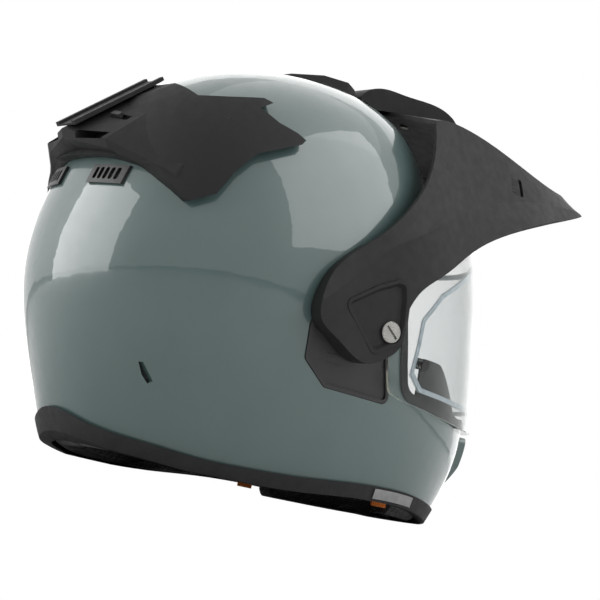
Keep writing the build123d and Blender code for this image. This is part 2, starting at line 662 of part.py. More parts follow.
loop_length = 2 * RING_BAR + RING_GAP + 2 * LOOP_ROOM
loop_height = RING_BAR + 2 * LOOP_ROOM
loop_middle = loop_length / 2 + STRAP_THICK / 2 - STRAP_RING_END
with BuildPart() as chin_strap_right:
    add(webbing((-STRAP_ROOM, strap_z), (-STRAP_TURN, strap_z), (-STRAP_LEVEL, strap_low),
                (-STRAP_RING_END, strap_low)))
    with BuildSketch(Plane.XZ.offset(-strap_y)):
        with Locations((loop_middle, strap_low)):
            RectangleRounded(loop_length + 2 * STRAP_THICK, loop_height + 2 * STRAP_THICK, STRAP_THICK)
            Rectangle(loop_length, loop_height, mode=Mode.SUBTRACT)
    extrude(amount=STRAP_WIDTH / 2, both=True)
keep("chin_strap_right", chin_strap_right.part)

with BuildPart() as chin_strap_left:
    add(webbing((STRAP_ROOM, strap_z), (STRAP_TURN, strap_z), (STRAP_LEVEL, strap_low),
                (0, strap_z - STRAP_LOW)))
keep("chin_strap_left", chin_strap_left.part)

anchor_room = block((0.5, 1.1), (-0.26, -0.10), (-0.845, -0.715))
anchor = skin(-foam_inset, -foam_inset - ANCHOR_THICK, anchor_room)
with BuildPart() as strap_anchors:
    add(both_sides(anchor))
keep("strap_anchors", strap_anchors.part)

for side, name in ((1, "d_ring_a"), (-1, "d_ring_b")):
    ring_middle = loop_middle + side * (RING_BAR + RING_GAP) / 2
    with BuildPart() as ring:
        with BuildSketch(Plane.YZ.offset(ring_middle - RING_BAR / 2)):
            with Locations((strap_y, strap_low + (RING_BAR - RING_REACH) / 2)):
                RectangleRounded(RING_LENGTH, RING_REACH, RING_REACH / 4)
                RectangleRounded(RING_LENGTH - 2 * RING_BAR, RING_REACH - 2 * RING_BAR, RING_BAR,
                                 mode=Mode.SUBTRACT)
        extrude(amount=RING_BAR)
        fillet(ring.edges().filter_by(Axis.X, reverse=True), RING_ROUND)
    keep(name, ring.part)

# Side plates in their recesses
plate_body = slab(spots(PLATE_SHARES), corner=PLATE_CORNER, start=HALF_WIDTH / 2, reach=HALF_WIDTH, both=False)
plate_field = slab(spots(PLATE_SHARES), grow=-RIM_WIDTH, corner=PLATE_CORNER, start=HALF_WIDTH / 2,
                   reach=HALF_WIDTH, both=False)
with BuildPart() as plate_dip:
    add(plate_field)
    add(shell_form(-PLATE_FACE), mode=Mode.SUBTRACT)
with BuildPart() as side_plate:
    add(skin(PLATE_RIM, -PLATE_SINK + EDGE_GAP, plate_body))
    add(plate_dip.part, mode=Mode.SUBTRACT)
keep("side_plate_left", side_plate.part)
keep("side_plate_right", mirrored(side_plate.part))

# Pivot base: seat and boss for the visor, web and threaded post for the peak's screw
seat_start = SEAT_SHARE * HALF_WIDTH
web_middle = ((PIVOT[0] + SCREW[0]) / 2, (PIVOT[1] + SCREW[1]) / 2)
web_lean = math.degrees(math.atan2(PIVOT[1] - SCREW[1], PIVOT[0] - SCREW[0]))
with BuildPart() as pivot_base:
    add(side_disc(PIVOT, PIVOT_RADIUS, seat_start, PIVOT_OUT - seat_start))
    with BuildSketch(Plane.YZ.offset(seat_start)):
        with Locations(Location(web_middle, web_lean)):
            SlotCenterToCenter(math.dist(PIVOT, SCREW), 2 * WEB_RADIUS)
    extrude(amount=WEB_OUT - seat_start)
    add(side_disc(PIVOT, BOSS_RADIUS, seat_start, PIVOT_OUT + BOSS_PROUD - seat_start))
    add(side_disc(SCREW, POST_RADIUS, seat_start, POCKET_INNER - FIT_GAP - seat_start))
    add(shell_form(-PLATE_FACE + EDGE_GAP), mode=Mode.SUBTRACT)
    add(side_disc(SCREW, SCREW_SHANK_RADIUS + FIT_GAP, seat_start, HALF_WIDTH), mode=Mode.SUBTRACT)
keep("pivot_base_left", pivot_base.part)
keep("pivot_base_right", mirrored(pivot_base.part))

with BuildPart() as side_screw:
    add(side_disc(SCREW, SCREW_HEAD_RADIUS, POCKET_INNER + POCKET_FLOOR + FIT_GAP, SCREW_HEAD_THICK))
    add(side_disc(SCREW, SCREW_SHANK_RADIUS, SCREW_TIP, POCKET_INNER + POCKET_FLOOR + FIT_GAP - SCREW_TIP))
    with BuildSketch(Plane.YZ.offset(POCKET_INNER + POCKET_FLOOR + SCREW_HEAD_THICK + FIT_GAP)):
        with Locations(Location(SCREW, SLOT_LEAN)):
            Rectangle(SLOT_LENGTH, SLOT_WIDTH)
    extrude(amount=-SLOT_DEPTH, mode=Mode.SUBTRACT)
    chamfer(side_screw.faces().sort_by(Axis.X)[-1].outer_wire().edges().filter_by(GeomType.CIRCLE), SCREW_CHAMFER)
keep("side_screw_left", side_screw.part)
keep("side_screw_right", mirrored(side_screw.part))


# Visor: flat ears on the pivots, lens, holding pins and hubs
def visor_form(inset):
    """The visor's solid form: flat sides behind the turn, a superellipse front."""
    turn, back = DOME_Y + VISOR_TURN_SHARE * HALF_DEPTH, DOME_Y + VISOR_BACK_SHARE * HALF_DEPTH
    with BuildPart() as form:
        for height, reach, width in VISOR_FORM_SHARES:
            half = width * VISOR_WIDTH / 2 - inset
            front = turn - (DOME_Y - reach * HALF_DEPTH) - inset
            curve = []
            for k in range(FRONT_POINTS + 1):
                angle = math.pi * k / FRONT_POINTS
                across, along = math.cos(angle), math.sin(angle)
                curve.append((half * math.copysign(abs(across) ** (2 / ROUNDNESS), across),
                              turn - front * along ** (2 / ROUNDNESS)))
            with BuildSketch(Plane.XY.offset(height_of(height))):
                with BuildLine():
                    Spline(*curve)
                    Polyline(curve[-1], (-half, back), (half, back), curve[0])
                make_face()
        loft()
    return form.part


def visor_layer(outer, inner, outline):
    with BuildPart() as layer:
        add(visor_form(outer))
        add(outline, mode=Mode.INTERSECT)
        add(visor_form(inner), mode=Mode.SUBTRACT)
    return layer.part


def visor_face(place):
    """Distance from the middle of the visor's outer face at a side view place."""
    share = (place[1] - DOME_Z) / (CROWN_RISE if place[1] > DOME_Z else CHIN_DROP)
    low, high = [pair for pair in zip(VISOR_FORM_SHARES, VISOR_FORM_SHARES[1:]) if pair[0][0] <= share][-1]
    part = (share - low[0]) / (high[0] - low[0])
    reach, width = [a + (b - a) * part for a, b in zip(low[1:], high[1:])]
    turn = VISOR_TURN_SHARE * HALF_DEPTH
    along = (DOME_Y + turn - place[0]) / (turn + reach * HALF_DEPTH)
    return width * VISOR_WIDTH / 2 * (1 - along ** ROUNDNESS) ** (1 / ROUNDNESS)


ear_outer = VISOR_WIDTH / 2
pin_slope = [(visor_face((LENS_PIN[0] + a, LENS_PIN[1] + b)) - visor_face((LENS_PIN[0] - a, LENS_PIN[1] - b)))
             / (2 * PIN_HEAD) for a, b in ((PIN_HEAD, 0), (0, PIN_HEAD))]
pin_axis = Plane(origin=(visor_face(LENS_PIN), *LENS_PIN), x_dir=(0, 0, 1),
                 z_dir=(1, -pin_slope[0], -pin_slope[1]))
with BuildPart() as pin_room:
    with BuildSketch(pin_axis):
        Circle(PIN_RADIUS + EDGE_GAP)
    extrude(amount=OVER / 2, both=True)
pin_hole = pin_room.part
ear = side_disc(PIVOT, EAR_RADIUS, ear_outer - VISOR_THICK, VISOR_THICK)
ear_hole = tube_cut(PIVOT, BOSS_RADIUS + FIT_GAP)
hub_room = side_disc(PIVOT, HUB_RADIUS + EDGE_GAP, ear_outer, VISOR_THICK)
with BuildPart() as visor:
    add(visor_layer(0, VISOR_THICK, slab(spots(VISOR_SHARES), corner=VISOR_CORNER)))
    add(both_sides(ear))
    add([*both_sides(ear_hole), *both_sides(pin_hole), *both_sides(hub_room)], mode=Mode.SUBTRACT)
keep("visor", visor.part)

lens_inset = VISOR_THICK + LENS_GAP
lens_outline = slab(spots(LENS_SHARES), corner=VISOR_CORNER)
with BuildPart() as inner_lens:
    add(visor_layer(lens_inset, lens_inset + LENS_THICK, lens_outline))
    add(both_sides(pin_hole), mode=Mode.SUBTRACT)
keep("inner_lens", inner_lens.part)

with BuildPart() as lens_seal:
    add(visor_layer(VISOR_THICK + EDGE_GAP, lens_inset - EDGE_GAP, lens_outline))
    add(slab(spots(LENS_SHARES), grow=-SEAL_WIDTH, corner=VISOR_CORNER), mode=Mode.SUBTRACT)
    add(both_sides(pin_hole), mode=Mode.SUBTRACT)
keep("lens_seal", lens_seal.part)

stack = lens_inset + LENS_THICK
with BuildPart() as lens_pins:
    with BuildSketch(pin_axis.offset(-stack - EDGE_GAP - PIN_HEAD_THICK)):
        Circle(PIN_HEAD)
    extrude(amount=PIN_HEAD_THICK)
    with BuildSketch(pin_axis.offset(-stack - EDGE_GAP)):
        Circle(PIN_RADIUS)
    extrude(amount=stack + 2 * EDGE_GAP)
    with BuildSketch(pin_axis.offset(EDGE_GAP)):
        Circle(PIN_HEAD)
    extrude(amount=PIN_HEAD_THICK)
    mirror(about=Plane.YZ)
keep("lens_pins", lens_pins.part)

hub = side_disc(PIVOT, HUB_RADIUS, ear_outer + FIT_GAP, HUB_THICK) - ear_hole
keep("visor_pivot_hubs", Part() + both_sides(hub))

with BuildPart() as visor_tab:
    add(visor_form(-EDGE_GAP - TAB_THICK))
    add(block((LIFT_ACROSS - LIFT_HALF, LIFT_ACROSS + LIFT_HALF), (-1.71, -0.80), LIFT_HEIGHTS),
        mode=Mode.INTERSECT)
    add(visor_form(-EDGE_GAP), mode=Mode.SUBTRACT)
keep("visor_tab", visor_tab.part)

# Peak: one lofted hood whose sides run back as arms to the pivots
def peak_form(inset):
    """The peak's solid form, moved inwards by inset."""
    with BuildPart() as form:
        for row in PEAK_SHARES:
            heights = [spot((0, share))[1] for share in (row[1], row[3], row[5], row[7], row[7] - PEAK_SKIRT)]
            halves = [share * ARM_WIDTH / 2 for share in (row[2], row[4], row[6], row[6])]
            side = [(0, heights[0])] + list(zip(halves, heights[1:]))
            outline = side + [(-x, z) for x, z in reversed(side[1:])]
            with BuildSketch(Plane.XZ.offset(-DOME_Y - row[0] * HALF_DEPTH)):
                with BuildLine():
                    Polyline(*outline, close=True)
                make_face()
                if inset:
                    offset(amount=-inset, kind=Kind.INTERSECTION)
        loft()
    return form.part


arm_line = spots(ARM_SHARES)


def arm_slab(inset):
    """The peak's and arms' side view, its curved lower outline moved inwards, stood out along X."""
    line = []
    for k, (y, z) in enumerate(arm_line[:ARM_POINTS]):
        before, after = arm_line[max(k - 1, 0)], arm_line[min(k + 1, ARM_POINTS - 1)]
        length = math.dist(before, after)
        line.append((y + inset * (after[1] - before[1]) / length, z - inset * (after[0] - before[0]) / length))
    with BuildPart() as body:
        with BuildSketch(Plane.YZ):
            with BuildLine():
                Spline(*line)
                Polyline(line[-1], *arm_line[ARM_POINTS:], line[0])
            make_face()
        extrude(amount=SHELL_WIDTH, both=True)
    return body.part


pocket_points = spots(POCKET_SHARES)
with BuildPart() as pocket_cup:
    with BuildSketch(Plane.YZ.offset(POCKET_INNER)) as cup_sketch:
        with BuildLine():
            Polyline(*pocket_points, close=True)
        make_face()
        fillet(cup_sketch.vertices(), POCKET_CORNER)
        offset(amount=POCKET_FLOOR / 2)
    extrude(amount=POCKET_CUP)
with BuildPart() as pocket_room:
    with BuildSketch(Plane.YZ.offset(POCKET_INNER + POCKET_FLOOR)) as room_sketch:
        with BuildLine():
            Polyline(*pocket_points, close=True)
        make_face()
        fillet(room_sketch.vertices(), POCKET_CORNER)
        offset(amount=-POCKET_SLOPE)
    extrude(amount=POCKET_DEPTH + OVER, taper=-POCKET_DRAFT)
with BuildPart() as arm_edge:
    add(peak_form(0))
    add(arm_slab(0), mode=Mode.INTERSECT)
    add(slab(spots(FLANGE_SHARES)), mode=Mode.INTERSECT)
    add([arm_slab(FLANGE_WALL), shell_form(FLANGE_CLEAR)], mode=Mode.SUBTRACT)

with BuildPart() as peak:
    add(peak_form(0))
    add(peak_form(PEAK_WALL), mode=Mode.SUBTRACT)
    add(both_sides(pocket_cup.part))
    add(arm_slab(0), mode=Mode.INTERSECT)
    add(arm_edge.part)
    add([*both_sides(pocket_room.part), *both_sides(tube_cut(SCREW, SCREW_SHANK_RADIUS + FIT_GAP)),
         *both_sides(side_disc(SCREW, SCREW_HEAD_RADIUS + EDGE_GAP, POCKET_INNER + POCKET_FLOOR, OVER)),
         slab([spot(PEAK_HOLE[0]), spot((PEAK_HOLE[1][0], PEAK_HOLE[0][1])), spot(PEAK_HOLE[1]),
               spot((PEAK_HOLE[0][0], PEAK_HOLE[1][1]))], corner=POCKET_CORNER / 2),
         bridge_bolt_hole], mode=Mode.SUBTRACT)
keep("peak", peak.part)

# Bridge cover over the peak's crown and the top vent's tail, and its bolt
bridge_top = spots(BRIDGE_SIDE)
bridge_rear, bridge_front = bridge_top[0][0], bridge_top[-1][0] + VENT_CORNER
bridge_foot = spot((0, BRIDGE_FOOT))[1]
with BuildPart() as bridge_plan:
    with BuildSketch(Plane.XY.offset(DOME_Z)):
        with BuildLine():
            Polyline((BRIDGE_REAR, bridge_rear + OVER), (BRIDGE_REAR, bridge_rear), (BRIDGE_FRONT, bridge_front),
                     (BRIDGE_FRONT, bridge_front - OVER), (-BRIDGE_FRONT, bridge_front - OVER),
                     (-BRIDGE_FRONT, bridge_front), (-BRIDGE_REAR, bridge_rear), (-BRIDGE_REAR, bridge_rear + OVER),
                     close=True)
        make_face()
    extrude(amount=SHELL_WIDTH)


def bridge_side(sink, start, reach):
    """Side view of the bridge below its top line, lowered by sink, stood out from a plane at start."""
    line = [(y, z - sink) for y, z in bridge_top]
    with BuildPart() as body:
        with BuildSketch(Plane.YZ.offset(start)):
            with BuildLine():
                Spline(*line)
                Polyline(line[-1], (line[-1][0], bridge_foot), (line[0][0], bridge_foot), line[0])
            make_face()
        extrude(amount=reach)
    return body.part


with BuildPart() as bridge_room:
    add(both_sides(bridge_side(BRIDGE_WALL, BRIDGE_RIB, BRIDGE_REAR - BRIDGE_WALL - BRIDGE_RIB)))
with BuildPart() as peak_bridge:
    add(both_sides(bridge_side(0, 0, BRIDGE_FRONT)))
    add(bridge_plan.part, mode=Mode.INTERSECT)
    add(bridge_room.part, mode=Mode.SUBTRACT)
    add([peak_form(-EDGE_GAP), slab(spots(TOP_VENT_SIDE), grow=EDGE_GAP), bridge_bolt_hole], mode=Mode.SUBTRACT)
    with BuildSketch(bolt_plane.offset(-FIT_GAP)):
        Circle(SCREW_HEAD_RADIUS + EDGE_GAP)
    extrude(amount=SCREW_HEAD_RADIUS, mode=Mode.SUBTRACT)
keep("peak_bridge", peak_bridge.part)

with BuildPart() as peak_front_screw:
    with BuildSketch(bolt_plane):
        Circle(SCREW_HEAD_RADIUS)
    extrude(amount=SCREW_HEAD_THICK)
    with BuildSketch(bolt_plane):
        Circle(SCREW_SHANK_RADIUS)
    extrude(amount=-BOLT_LENGTH)
    with BuildSketch(bolt_plane.offset(SCREW_HEAD_THICK)):
        Rectangle(SLOT_WIDTH, SLOT_LENGTH)
    extrude(amount=-SLOT_DEPTH, mode=Mode.SUBTRACT)
keep("peak_front_screw", peak_front_screw.part)

# Crown vent with its sliding knob
top_place = spot(TOP_KNOB_SHARE)
top_knob, top_slot = knob((0, *top_place), (0, 0, 1), (0, 1, 0), TOP_TRAVEL)
with BuildPart() as top_vent_cover:
    with BuildSketch(Plane.XY.offset(spot((0, TOP_VENT_SIDE[-1][1]))[1])) as plan:
        with BuildLine():
            half = [(x * HALF_WIDTH, DOME_Y + y * HALF_DEPTH) for x, y in TOP_VENT_PLAN]
            Polyline(*[(-x, y) for x, y in half], *reversed(half), close=True)
        make_face()
        fillet(plan.vertices(), VENT_CORNER)
    extrude(amount=CROWN_RISE / 4, taper=DRAFT)
    add(slab(spots(TOP_VENT_SIDE)), mode=Mode.INTERSECT)
    add(shell_form(EDGE_GAP), mode=Mode.SUBTRACT)
    add([top_slot, block(TOP_MOUTH[0], TOP_MOUTH[1], TOP_MOUTH[2])], mode=Mode.SUBTRACT)
keep("top_vent_cover", top_vent_cover.part)
keep("top_vent_slider", top_knob)


# Spoiler with its ridge, rear duct, sliders and grilles
def ridge_point(across, down):
    """Point on the spoiler's rear face: distance from the middle, share down from ridge to tip."""
    part = across / (RIDGE_SHARES[1][0] * HALF_WIDTH)
    ends = []
    for k in (1, 2):
        inner, outer = spot(RIDGE_SHARES[0][1][k]), spot(RIDGE_SHARES[1][1][k])
        ends.append([a + (b - a) * part for a, b in zip(inner, outer)])
    return Vector(across, *[a + (b - a) * down for a, b in zip(*ends)])


knob_place = ridge_point(EXHAUST_KNOB_OUT, EXHAUST_KNOB_SHARE)
knob_along = (ridge_point(EXHAUST_KNOB_OUT + EXHAUST_TRAVEL, EXHAUST_KNOB_SHARE) - knob_place).normalized()
knob_down = (ridge_point(EXHAUST_KNOB_OUT, 1) - knob_place).normalized()
exhaust_knob, exhaust_slot = knob(knob_place, knob_down.cross(knob_along) * -1, knob_along, EXHAUST_TRAVEL)

with BuildPart() as ridge:
    for share, points in [(-s, p) for s, p in reversed(RIDGE_SHARES[1:])] + RIDGE_SHARES:
        with BuildSketch(Plane.YZ.offset(share * HALF_WIDTH)):
            with BuildLine():
                Polyline(*spots(points), close=True)
            make_face()
    loft(ruled=True)

with BuildPart() as rear_spoiler:
    add(shell_form(SPOILER_TALL))
    add(slab(spots(SPOILER_SHARES)), mode=Mode.INTERSECT)
    add(ridge.part)
    add(shell_form(EDGE_GAP), mode=Mode.SUBTRACT)
    add(both_sides(exhaust_slot), mode=Mode.SUBTRACT)
    add(both_sides(block(*SPOILER_MOUTH)), mode=Mode.SUBTRACT)
keep("rear_spoiler", rear_spoiler.part)
keep("exhaust_slider_left", exhaust_knob)
keep("exhaust_slider_right", mirrored(exhaust_knob))

with BuildPart() as rear_duct:
    add(slab(spots(DUCT_SHARES), reach=REAR_DUCT_HALF))
    add(slab(spots(CHANNEL_SHARES), reach=REAR_DUCT_HALF - RAIL_WIDTH), mode=Mode.SUBTRACT)
keep("rear_duct", rear_duct.part)

with BuildPart() as exhaust_grilles:
    add(skin(GRILLE_THICK + EDGE_GAP, EDGE_GAP, block(*GRILLE_ROOM)))
    with BuildSketch(Plane.XZ.offset(-DOME_Y)):
        with Locations((GRILLE_MIDDLE[0] * HALF_WIDTH, spot(GRILLE_MIDDLE)[1])):
            with GridLocations(GRILLE_PITCH, 0, GRILLE_BARS, 1):
                SlotCenterToCenter(GRILLE_PITCH, GRILLE_HOLE, rotation=90)
    extrude(amount=-SHELL_DEPTH, mode=Mode.SUBTRACT)
    mirror(about=Plane.YZ)
keep("exhaust_grilles", exhaust_grilles.part)


# Chin and brow vents
def front_place(across, share, proud):
    """Place and normal on the shell's front at a distance from the middle and a height share."""
    def point(x, height):
        row = row_at(height)
        across = 1 - (abs(x) / (row[4] * HALF_WIDTH)) ** ROUNDNESS
        reach = (row[2] * HALF_DEPTH + proud) * across ** (1 / ROUNDNESS)
        return Vector(x, DOME_Y + row[1] * HALF_DEPTH - reach, height)
    height = spot((0, share))[1]
    step = SHELL_WALL
    up = (point(across, height + step) - point(across, height - step)).normalized()
    side = (point(across + step, height) - point(across - step, height)).normalized()
    return point(across, height), side.cross(up), up


chin_place, chin_normal, chin_up = front_place(0, CHIN_KNOB_SHARE[1], CHIN_VENT_PROUD)
chin_knob, chin_slot = knob(chin_place, chin_normal, chin_up, CHIN_TRAVEL, width=2 * KNOB_WIDTH,
                            length=KNOB_WIDTH)
chin_outline = front_slab(front_spots(CHIN_VENT_SHARES), corner=VENT_CORNER)
chin_mouth = front_slab(front_spots(CHIN_MOUTH_SHARES), corner=VENT_CORNER / 2)
with BuildPart() as chin_vent_housing:
    add(skin(CHIN_VENT_PROUD, EDGE_GAP, chin_outline))
    add([chin_mouth, chin_slot], mode=Mode.SUBTRACT)
keep("chin_vent_housing", chin_vent_housing.part)
keep("chin_vent_shutter", chin_knob)

with BuildPart() as chin_vent_grille:
    add(skin(GRILLE_PROUD, GRILLE_PROUD - GRILLE_THICK,
             front_slab(front_spots(CHIN_MOUTH_SHARES), grow=-EDGE_GAP, corner=VENT_CORNER / 2)))
    with BuildSketch(Plane.XZ.offset(-DOME_Y)):
        with Locations((0, spot((0, CHIN_GRILLE_MIDDLE))[1])):
            with GridLocations(2 * GRILLE_PITCH, GRILLE_PITCH, CHIN_GRILLE_COUNT, 2):
                SlotOverall(2 * GRILLE_PITCH - GRILLE_RIB, GRILLE_HOLE)
    extrude(amount=SHELL_DEPTH, mode=Mode.SUBTRACT)
keep("chin_vent_grille", chin_vent_grille.part)

brow_place, brow_normal, brow_up = front_place(BROW_KNOB_SHARE[0] * HALF_WIDTH, BROW_KNOB_SHARE[1],
                                               BROW_VENT_PROUD)
brow_knob, brow_slot = knob(brow_place, brow_normal, brow_up, BROW_TRAVEL)
with BuildPart() as brow_vent:
    add(skin(BROW_VENT_PROUD, EDGE_GAP, front_slab(front_spots(BROW_VENT_SHARES), corner=VENT_CORNER)))
    add([front_slab(front_spots(BROW_MOUTH_SHARES), corner=VENT_CORNER / 2), *both_sides(brow_slot)],
        mode=Mode.SUBTRACT)
keep("brow_vent", brow_vent.part)
keep("brow_shutter_left", brow_knob)
keep("brow_shutter_right", mirrored(brow_knob))

breath_guard = skin(-GUARD_INSET, -GUARD_INSET - GUARD_WALL, slab(spots(GUARD_SHARES), corner=VENT_CORNER))
keep("breath_guard", breath_guard)

snap_level = strap_low + (strap_z - STRAP_LOW - strap_low) * (1 - SNAP_OUT / STRAP_LEVEL)
snap_lean = math.atan2(strap_low - strap_z + STRAP_LOW, STRAP_LEVEL)
snap_plane = Plane(origin=(SNAP_OUT, strap_y, snap_level), z_dir=(-math.sin(snap_lean), 0, math.cos(snap_lean)))
with BuildPart() as strap_snap:
    with BuildSketch(snap_plane.offset(STRAP_THICK / 2 + FIT_GAP)):
        Circle(SNAP_RADIUS)
    extrude(amount=SNAP_THICK, taper=DRAFT)
keep("strap_snap", strap_snap.part)

os.makedirs("parts", exist_ok=True)
for name, part in pieces.items():
    export_step(part, f"parts/{name}.step")
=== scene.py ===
"""Looks of a full-face dual sport helmet with a long peak: finishes, soft goods, details, studio."""
import logging
import math
from dataclasses import dataclass, field
from enum import Enum

import bmesh
import bpy
from mathutils import Matrix, Vector
from mathutils.bvhtree import BVHTree


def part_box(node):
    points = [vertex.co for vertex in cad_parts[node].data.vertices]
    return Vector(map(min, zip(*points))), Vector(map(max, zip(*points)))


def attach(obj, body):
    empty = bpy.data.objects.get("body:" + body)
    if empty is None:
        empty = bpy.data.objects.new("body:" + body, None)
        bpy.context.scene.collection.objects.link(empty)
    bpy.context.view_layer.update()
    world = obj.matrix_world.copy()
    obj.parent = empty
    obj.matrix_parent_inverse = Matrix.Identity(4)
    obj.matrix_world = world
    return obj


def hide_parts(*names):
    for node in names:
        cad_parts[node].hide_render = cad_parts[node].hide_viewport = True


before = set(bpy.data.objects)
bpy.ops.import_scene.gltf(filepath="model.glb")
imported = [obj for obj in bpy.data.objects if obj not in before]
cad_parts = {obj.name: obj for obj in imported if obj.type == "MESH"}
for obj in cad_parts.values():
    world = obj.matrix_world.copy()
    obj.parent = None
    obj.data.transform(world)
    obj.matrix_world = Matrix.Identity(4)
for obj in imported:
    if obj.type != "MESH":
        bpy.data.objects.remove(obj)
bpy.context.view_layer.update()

LOG = logging.getLogger("helmet")
MM = 0.001
MIX_FIRST, MIX_SECOND, MIX_RESULT = 6, 7, 2
WELD = 0.01 * MM
DOME_CENTRE = Vector((0.0, 0.0588, 0.145))
HELMET = "helmet"


class Direction(Enum):
    """Axis of a brushed metal's marks or a band's ribs."""

    ALONG_X = (1.0, 0.0, 0.0)
    ALONG_Y = (0.0, 1.0, 0.0)
    ALONG_Z = (0.0, 0.0, 1.0)


class Side(Enum):
    """Side of the helmet, as the sign of X."""

    RIGHT = -1
    LEFT = 1


class Shader:
    """A material's node tree, with short calls to add nodes and join them."""

    def __init__(self, name: str) -> None:
        """Start an empty material.

        Args:
            name: the material's name.
        """
        self.material = bpy.data.materials.new(name)
        self.material.use_nodes = True
        self.tree = self.material.node_tree
        self.tree.nodes.clear()
        self.output = self.tree.nodes.new("ShaderNodeOutputMaterial")
        self.place = self.tree.nodes.new("ShaderNodeTexCoord")

    def add(self, kind: str, inputs: dict | None = None, **settings: object) -> bpy.types.Node:
        """Add a node.

        Args:
            kind: the node's type without its ShaderNode prefix.
            inputs: values or sockets for its inputs, by name or number.
            settings: the node's own properties.

        Returns:
            The new node.
        """
        node = self.tree.nodes.new("ShaderNode" + kind)
        for key, value in settings.items():
            setattr(node, key, value)
        for key, value in (inputs or {}).items():
            if isinstance(value, bpy.types.NodeSocket):
                self.tree.links.new(value, node.inputs[key])
            else:
                node.inputs[key].default_value = value
        return node

    def noise(self, scale: float, detail: float = 3.0, stretch: tuple[float, float, float] = (1.0, 1.0, 1.0)
              ) -> bpy.types.NodeSocket:
        """Noise over the object's own coordinates.

        Args:
            scale: cells per metre.
            detail: octaves.
            stretch: extra scale along each axis.

        Returns:
            The noise's grey value.
        """
        spot = self.add("Mapping", {"Vector": self.place.outputs["Object"], "Scale": stretch})
        return self.add("TexNoise", {"Vector": spot.outputs[0], "Scale": scale, "Detail": detail}).outputs[0]

    def span(self, value: bpy.types.NodeSocket, low: float, high: float, start: float = 0.3, end: float = 0.7
             ) -> bpy.types.NodeSocket:
        """Map a grey value on to a range.

        Args:
            value: the grey value.
            low: result at start.
            high: result at end.
            start: value that gives low.
            end: value that gives high.

        Returns:
            The mapped value.
        """
        return self.add("MapRange", {0: value, 1: start, 2: end, 3: low, 4: high}).outputs[0]

    def blend(self, factor: bpy.types.NodeSocket, first: tuple[float, ...], second: tuple[float, ...]
              ) -> bpy.types.NodeSocket:
        """Blend two colours by a grey value.

        Args:
            factor: 0 gives the first colour and 1 the second.
            first: linear red, green and blue.
            second: linear red, green and blue.

        Returns:
            The blended colour.
        """
        return self.over(factor, (*first, 1.0), second)

    def over(self, factor: bpy.types.NodeSocket, first: bpy.types.NodeSocket | tuple[float, ...],
             second: tuple[float, ...]) -> bpy.types.NodeSocket:
        """Lay a plain colour over another shade by a grey value.

        Args:
            factor: 0 gives the first shade and 1 the second.
            first: the shade below, a socket or red, green, blue and alpha.
            second: linear red, green and blue.

        Returns:
            The blended colour.
        """
        mix = self.add("Mix", {0: factor, MIX_FIRST: first, MIX_SECOND: (*second, 1.0)}, data_type="RGBA")
        return mix.outputs[MIX_RESULT]

    def bump(self, height: bpy.types.NodeSocket, depth: float, strength: float = 1.0) -> bpy.types.NodeSocket:
        """Turn a grey value into a surface relief.

        Args:
            height: the grey value.
            depth: metres between black and white.
            strength: share of the relief that shows.

        Returns:
            The bent normal.
        """
        return self.add("Bump", {"Height": height, "Distance": depth, "Strength": strength}).outputs[0]

    def surface(self, shader: bpy.types.Node) -> bpy.types.Material:
        """Join the last shader to the output.

        Args:
            shader: the node whose first output is the surface.

        Returns:
            The finished material.
        """
        self.tree.links.new(shader.outputs[0], self.output.inputs["Surface"])
        return self.material


def tinted(colour: tuple[float, float, float], gain: float) -> tuple[float, float, float]:
    """Scale a linear colour by a gain."""
    return (colour[0] * gain, colour[1] * gain, colour[2] * gain)


@dataclass(frozen=True)
class GlossPaint:
    """Clear coat over a pigmented base: cloudy base, fine orange peel, sharp reflections."""

    name: str
    slot: str
    colour: tuple[float, float, float]
    cloud_scale: float = 26.0
    pigment_scale: float = 2600.0
    pigment_share: float = 0.35
    peel_scale: float = 260.0
    peel_depth: float = 0.012 * MM
    rough: tuple[float, float] = (0.34, 0.44)

    def material(self) -> bpy.types.Material:
        """Build the paint."""
        s = Shader(self.name)
        cloud = s.span(s.noise(self.cloud_scale), 0.0, 1.0)
        pigment = s.span(s.noise(self.pigment_scale, 2.0), 0.0, self.pigment_share)
        base = s.blend(cloud, tinted(self.colour, 0.96), tinted(self.colour, 1.05))
        flake = s.over(pigment, base, tinted(self.colour, 1.22))
        peel = s.bump(s.noise(self.peel_scale, 1.0), self.peel_depth)
        body = s.add("BsdfPrincipled", {
            "Base Color": flake, "Roughness": s.span(s.noise(90.0), *self.rough),
            "Specular IOR Level": 0.35, "Coat Weight": 1.0, "Coat Roughness": 0.025, "Coat IOR": 1.5,
            "Normal": peel, "Coat Normal": peel})
        return s.surface(body)


@dataclass(frozen=True)
class MouldedPlastic:
    """Moulded plastic: spark-eroded grain, slight flow marks and uneven gloss."""

    name: str
    slot: str
    colour: tuple[float, float, float]
    rough: tuple[float, float] = (0.46, 0.58)
    grain_scale: float = 1500.0
    grain_depth: float = 0.05 * MM
    specular: float = 0.42
    flow_scale: float = 34.0

    def material(self) -> bpy.types.Material:
        """Build the plastic."""
        s = Shader(self.name)
        flow = s.noise(self.flow_scale, 4.0, (1.0, 0.45, 1.0))
        grain = s.noise(self.grain_scale, 2.0)
        base = s.blend(s.span(flow, 0.0, 1.0), tinted(self.colour, 0.9), tinted(self.colour, 1.1))
        speck = s.over(s.span(grain, 0.0, 0.3, 0.45, 0.75), base, tinted(self.colour, 1.7))
        body = s.add("BsdfPrincipled", {
            "Base Color": speck, "Roughness": s.span(s.noise(150.0), *self.rough),
            "Specular IOR Level": self.specular, "Normal": s.bump(grain, self.grain_depth)})
        return s.surface(body)


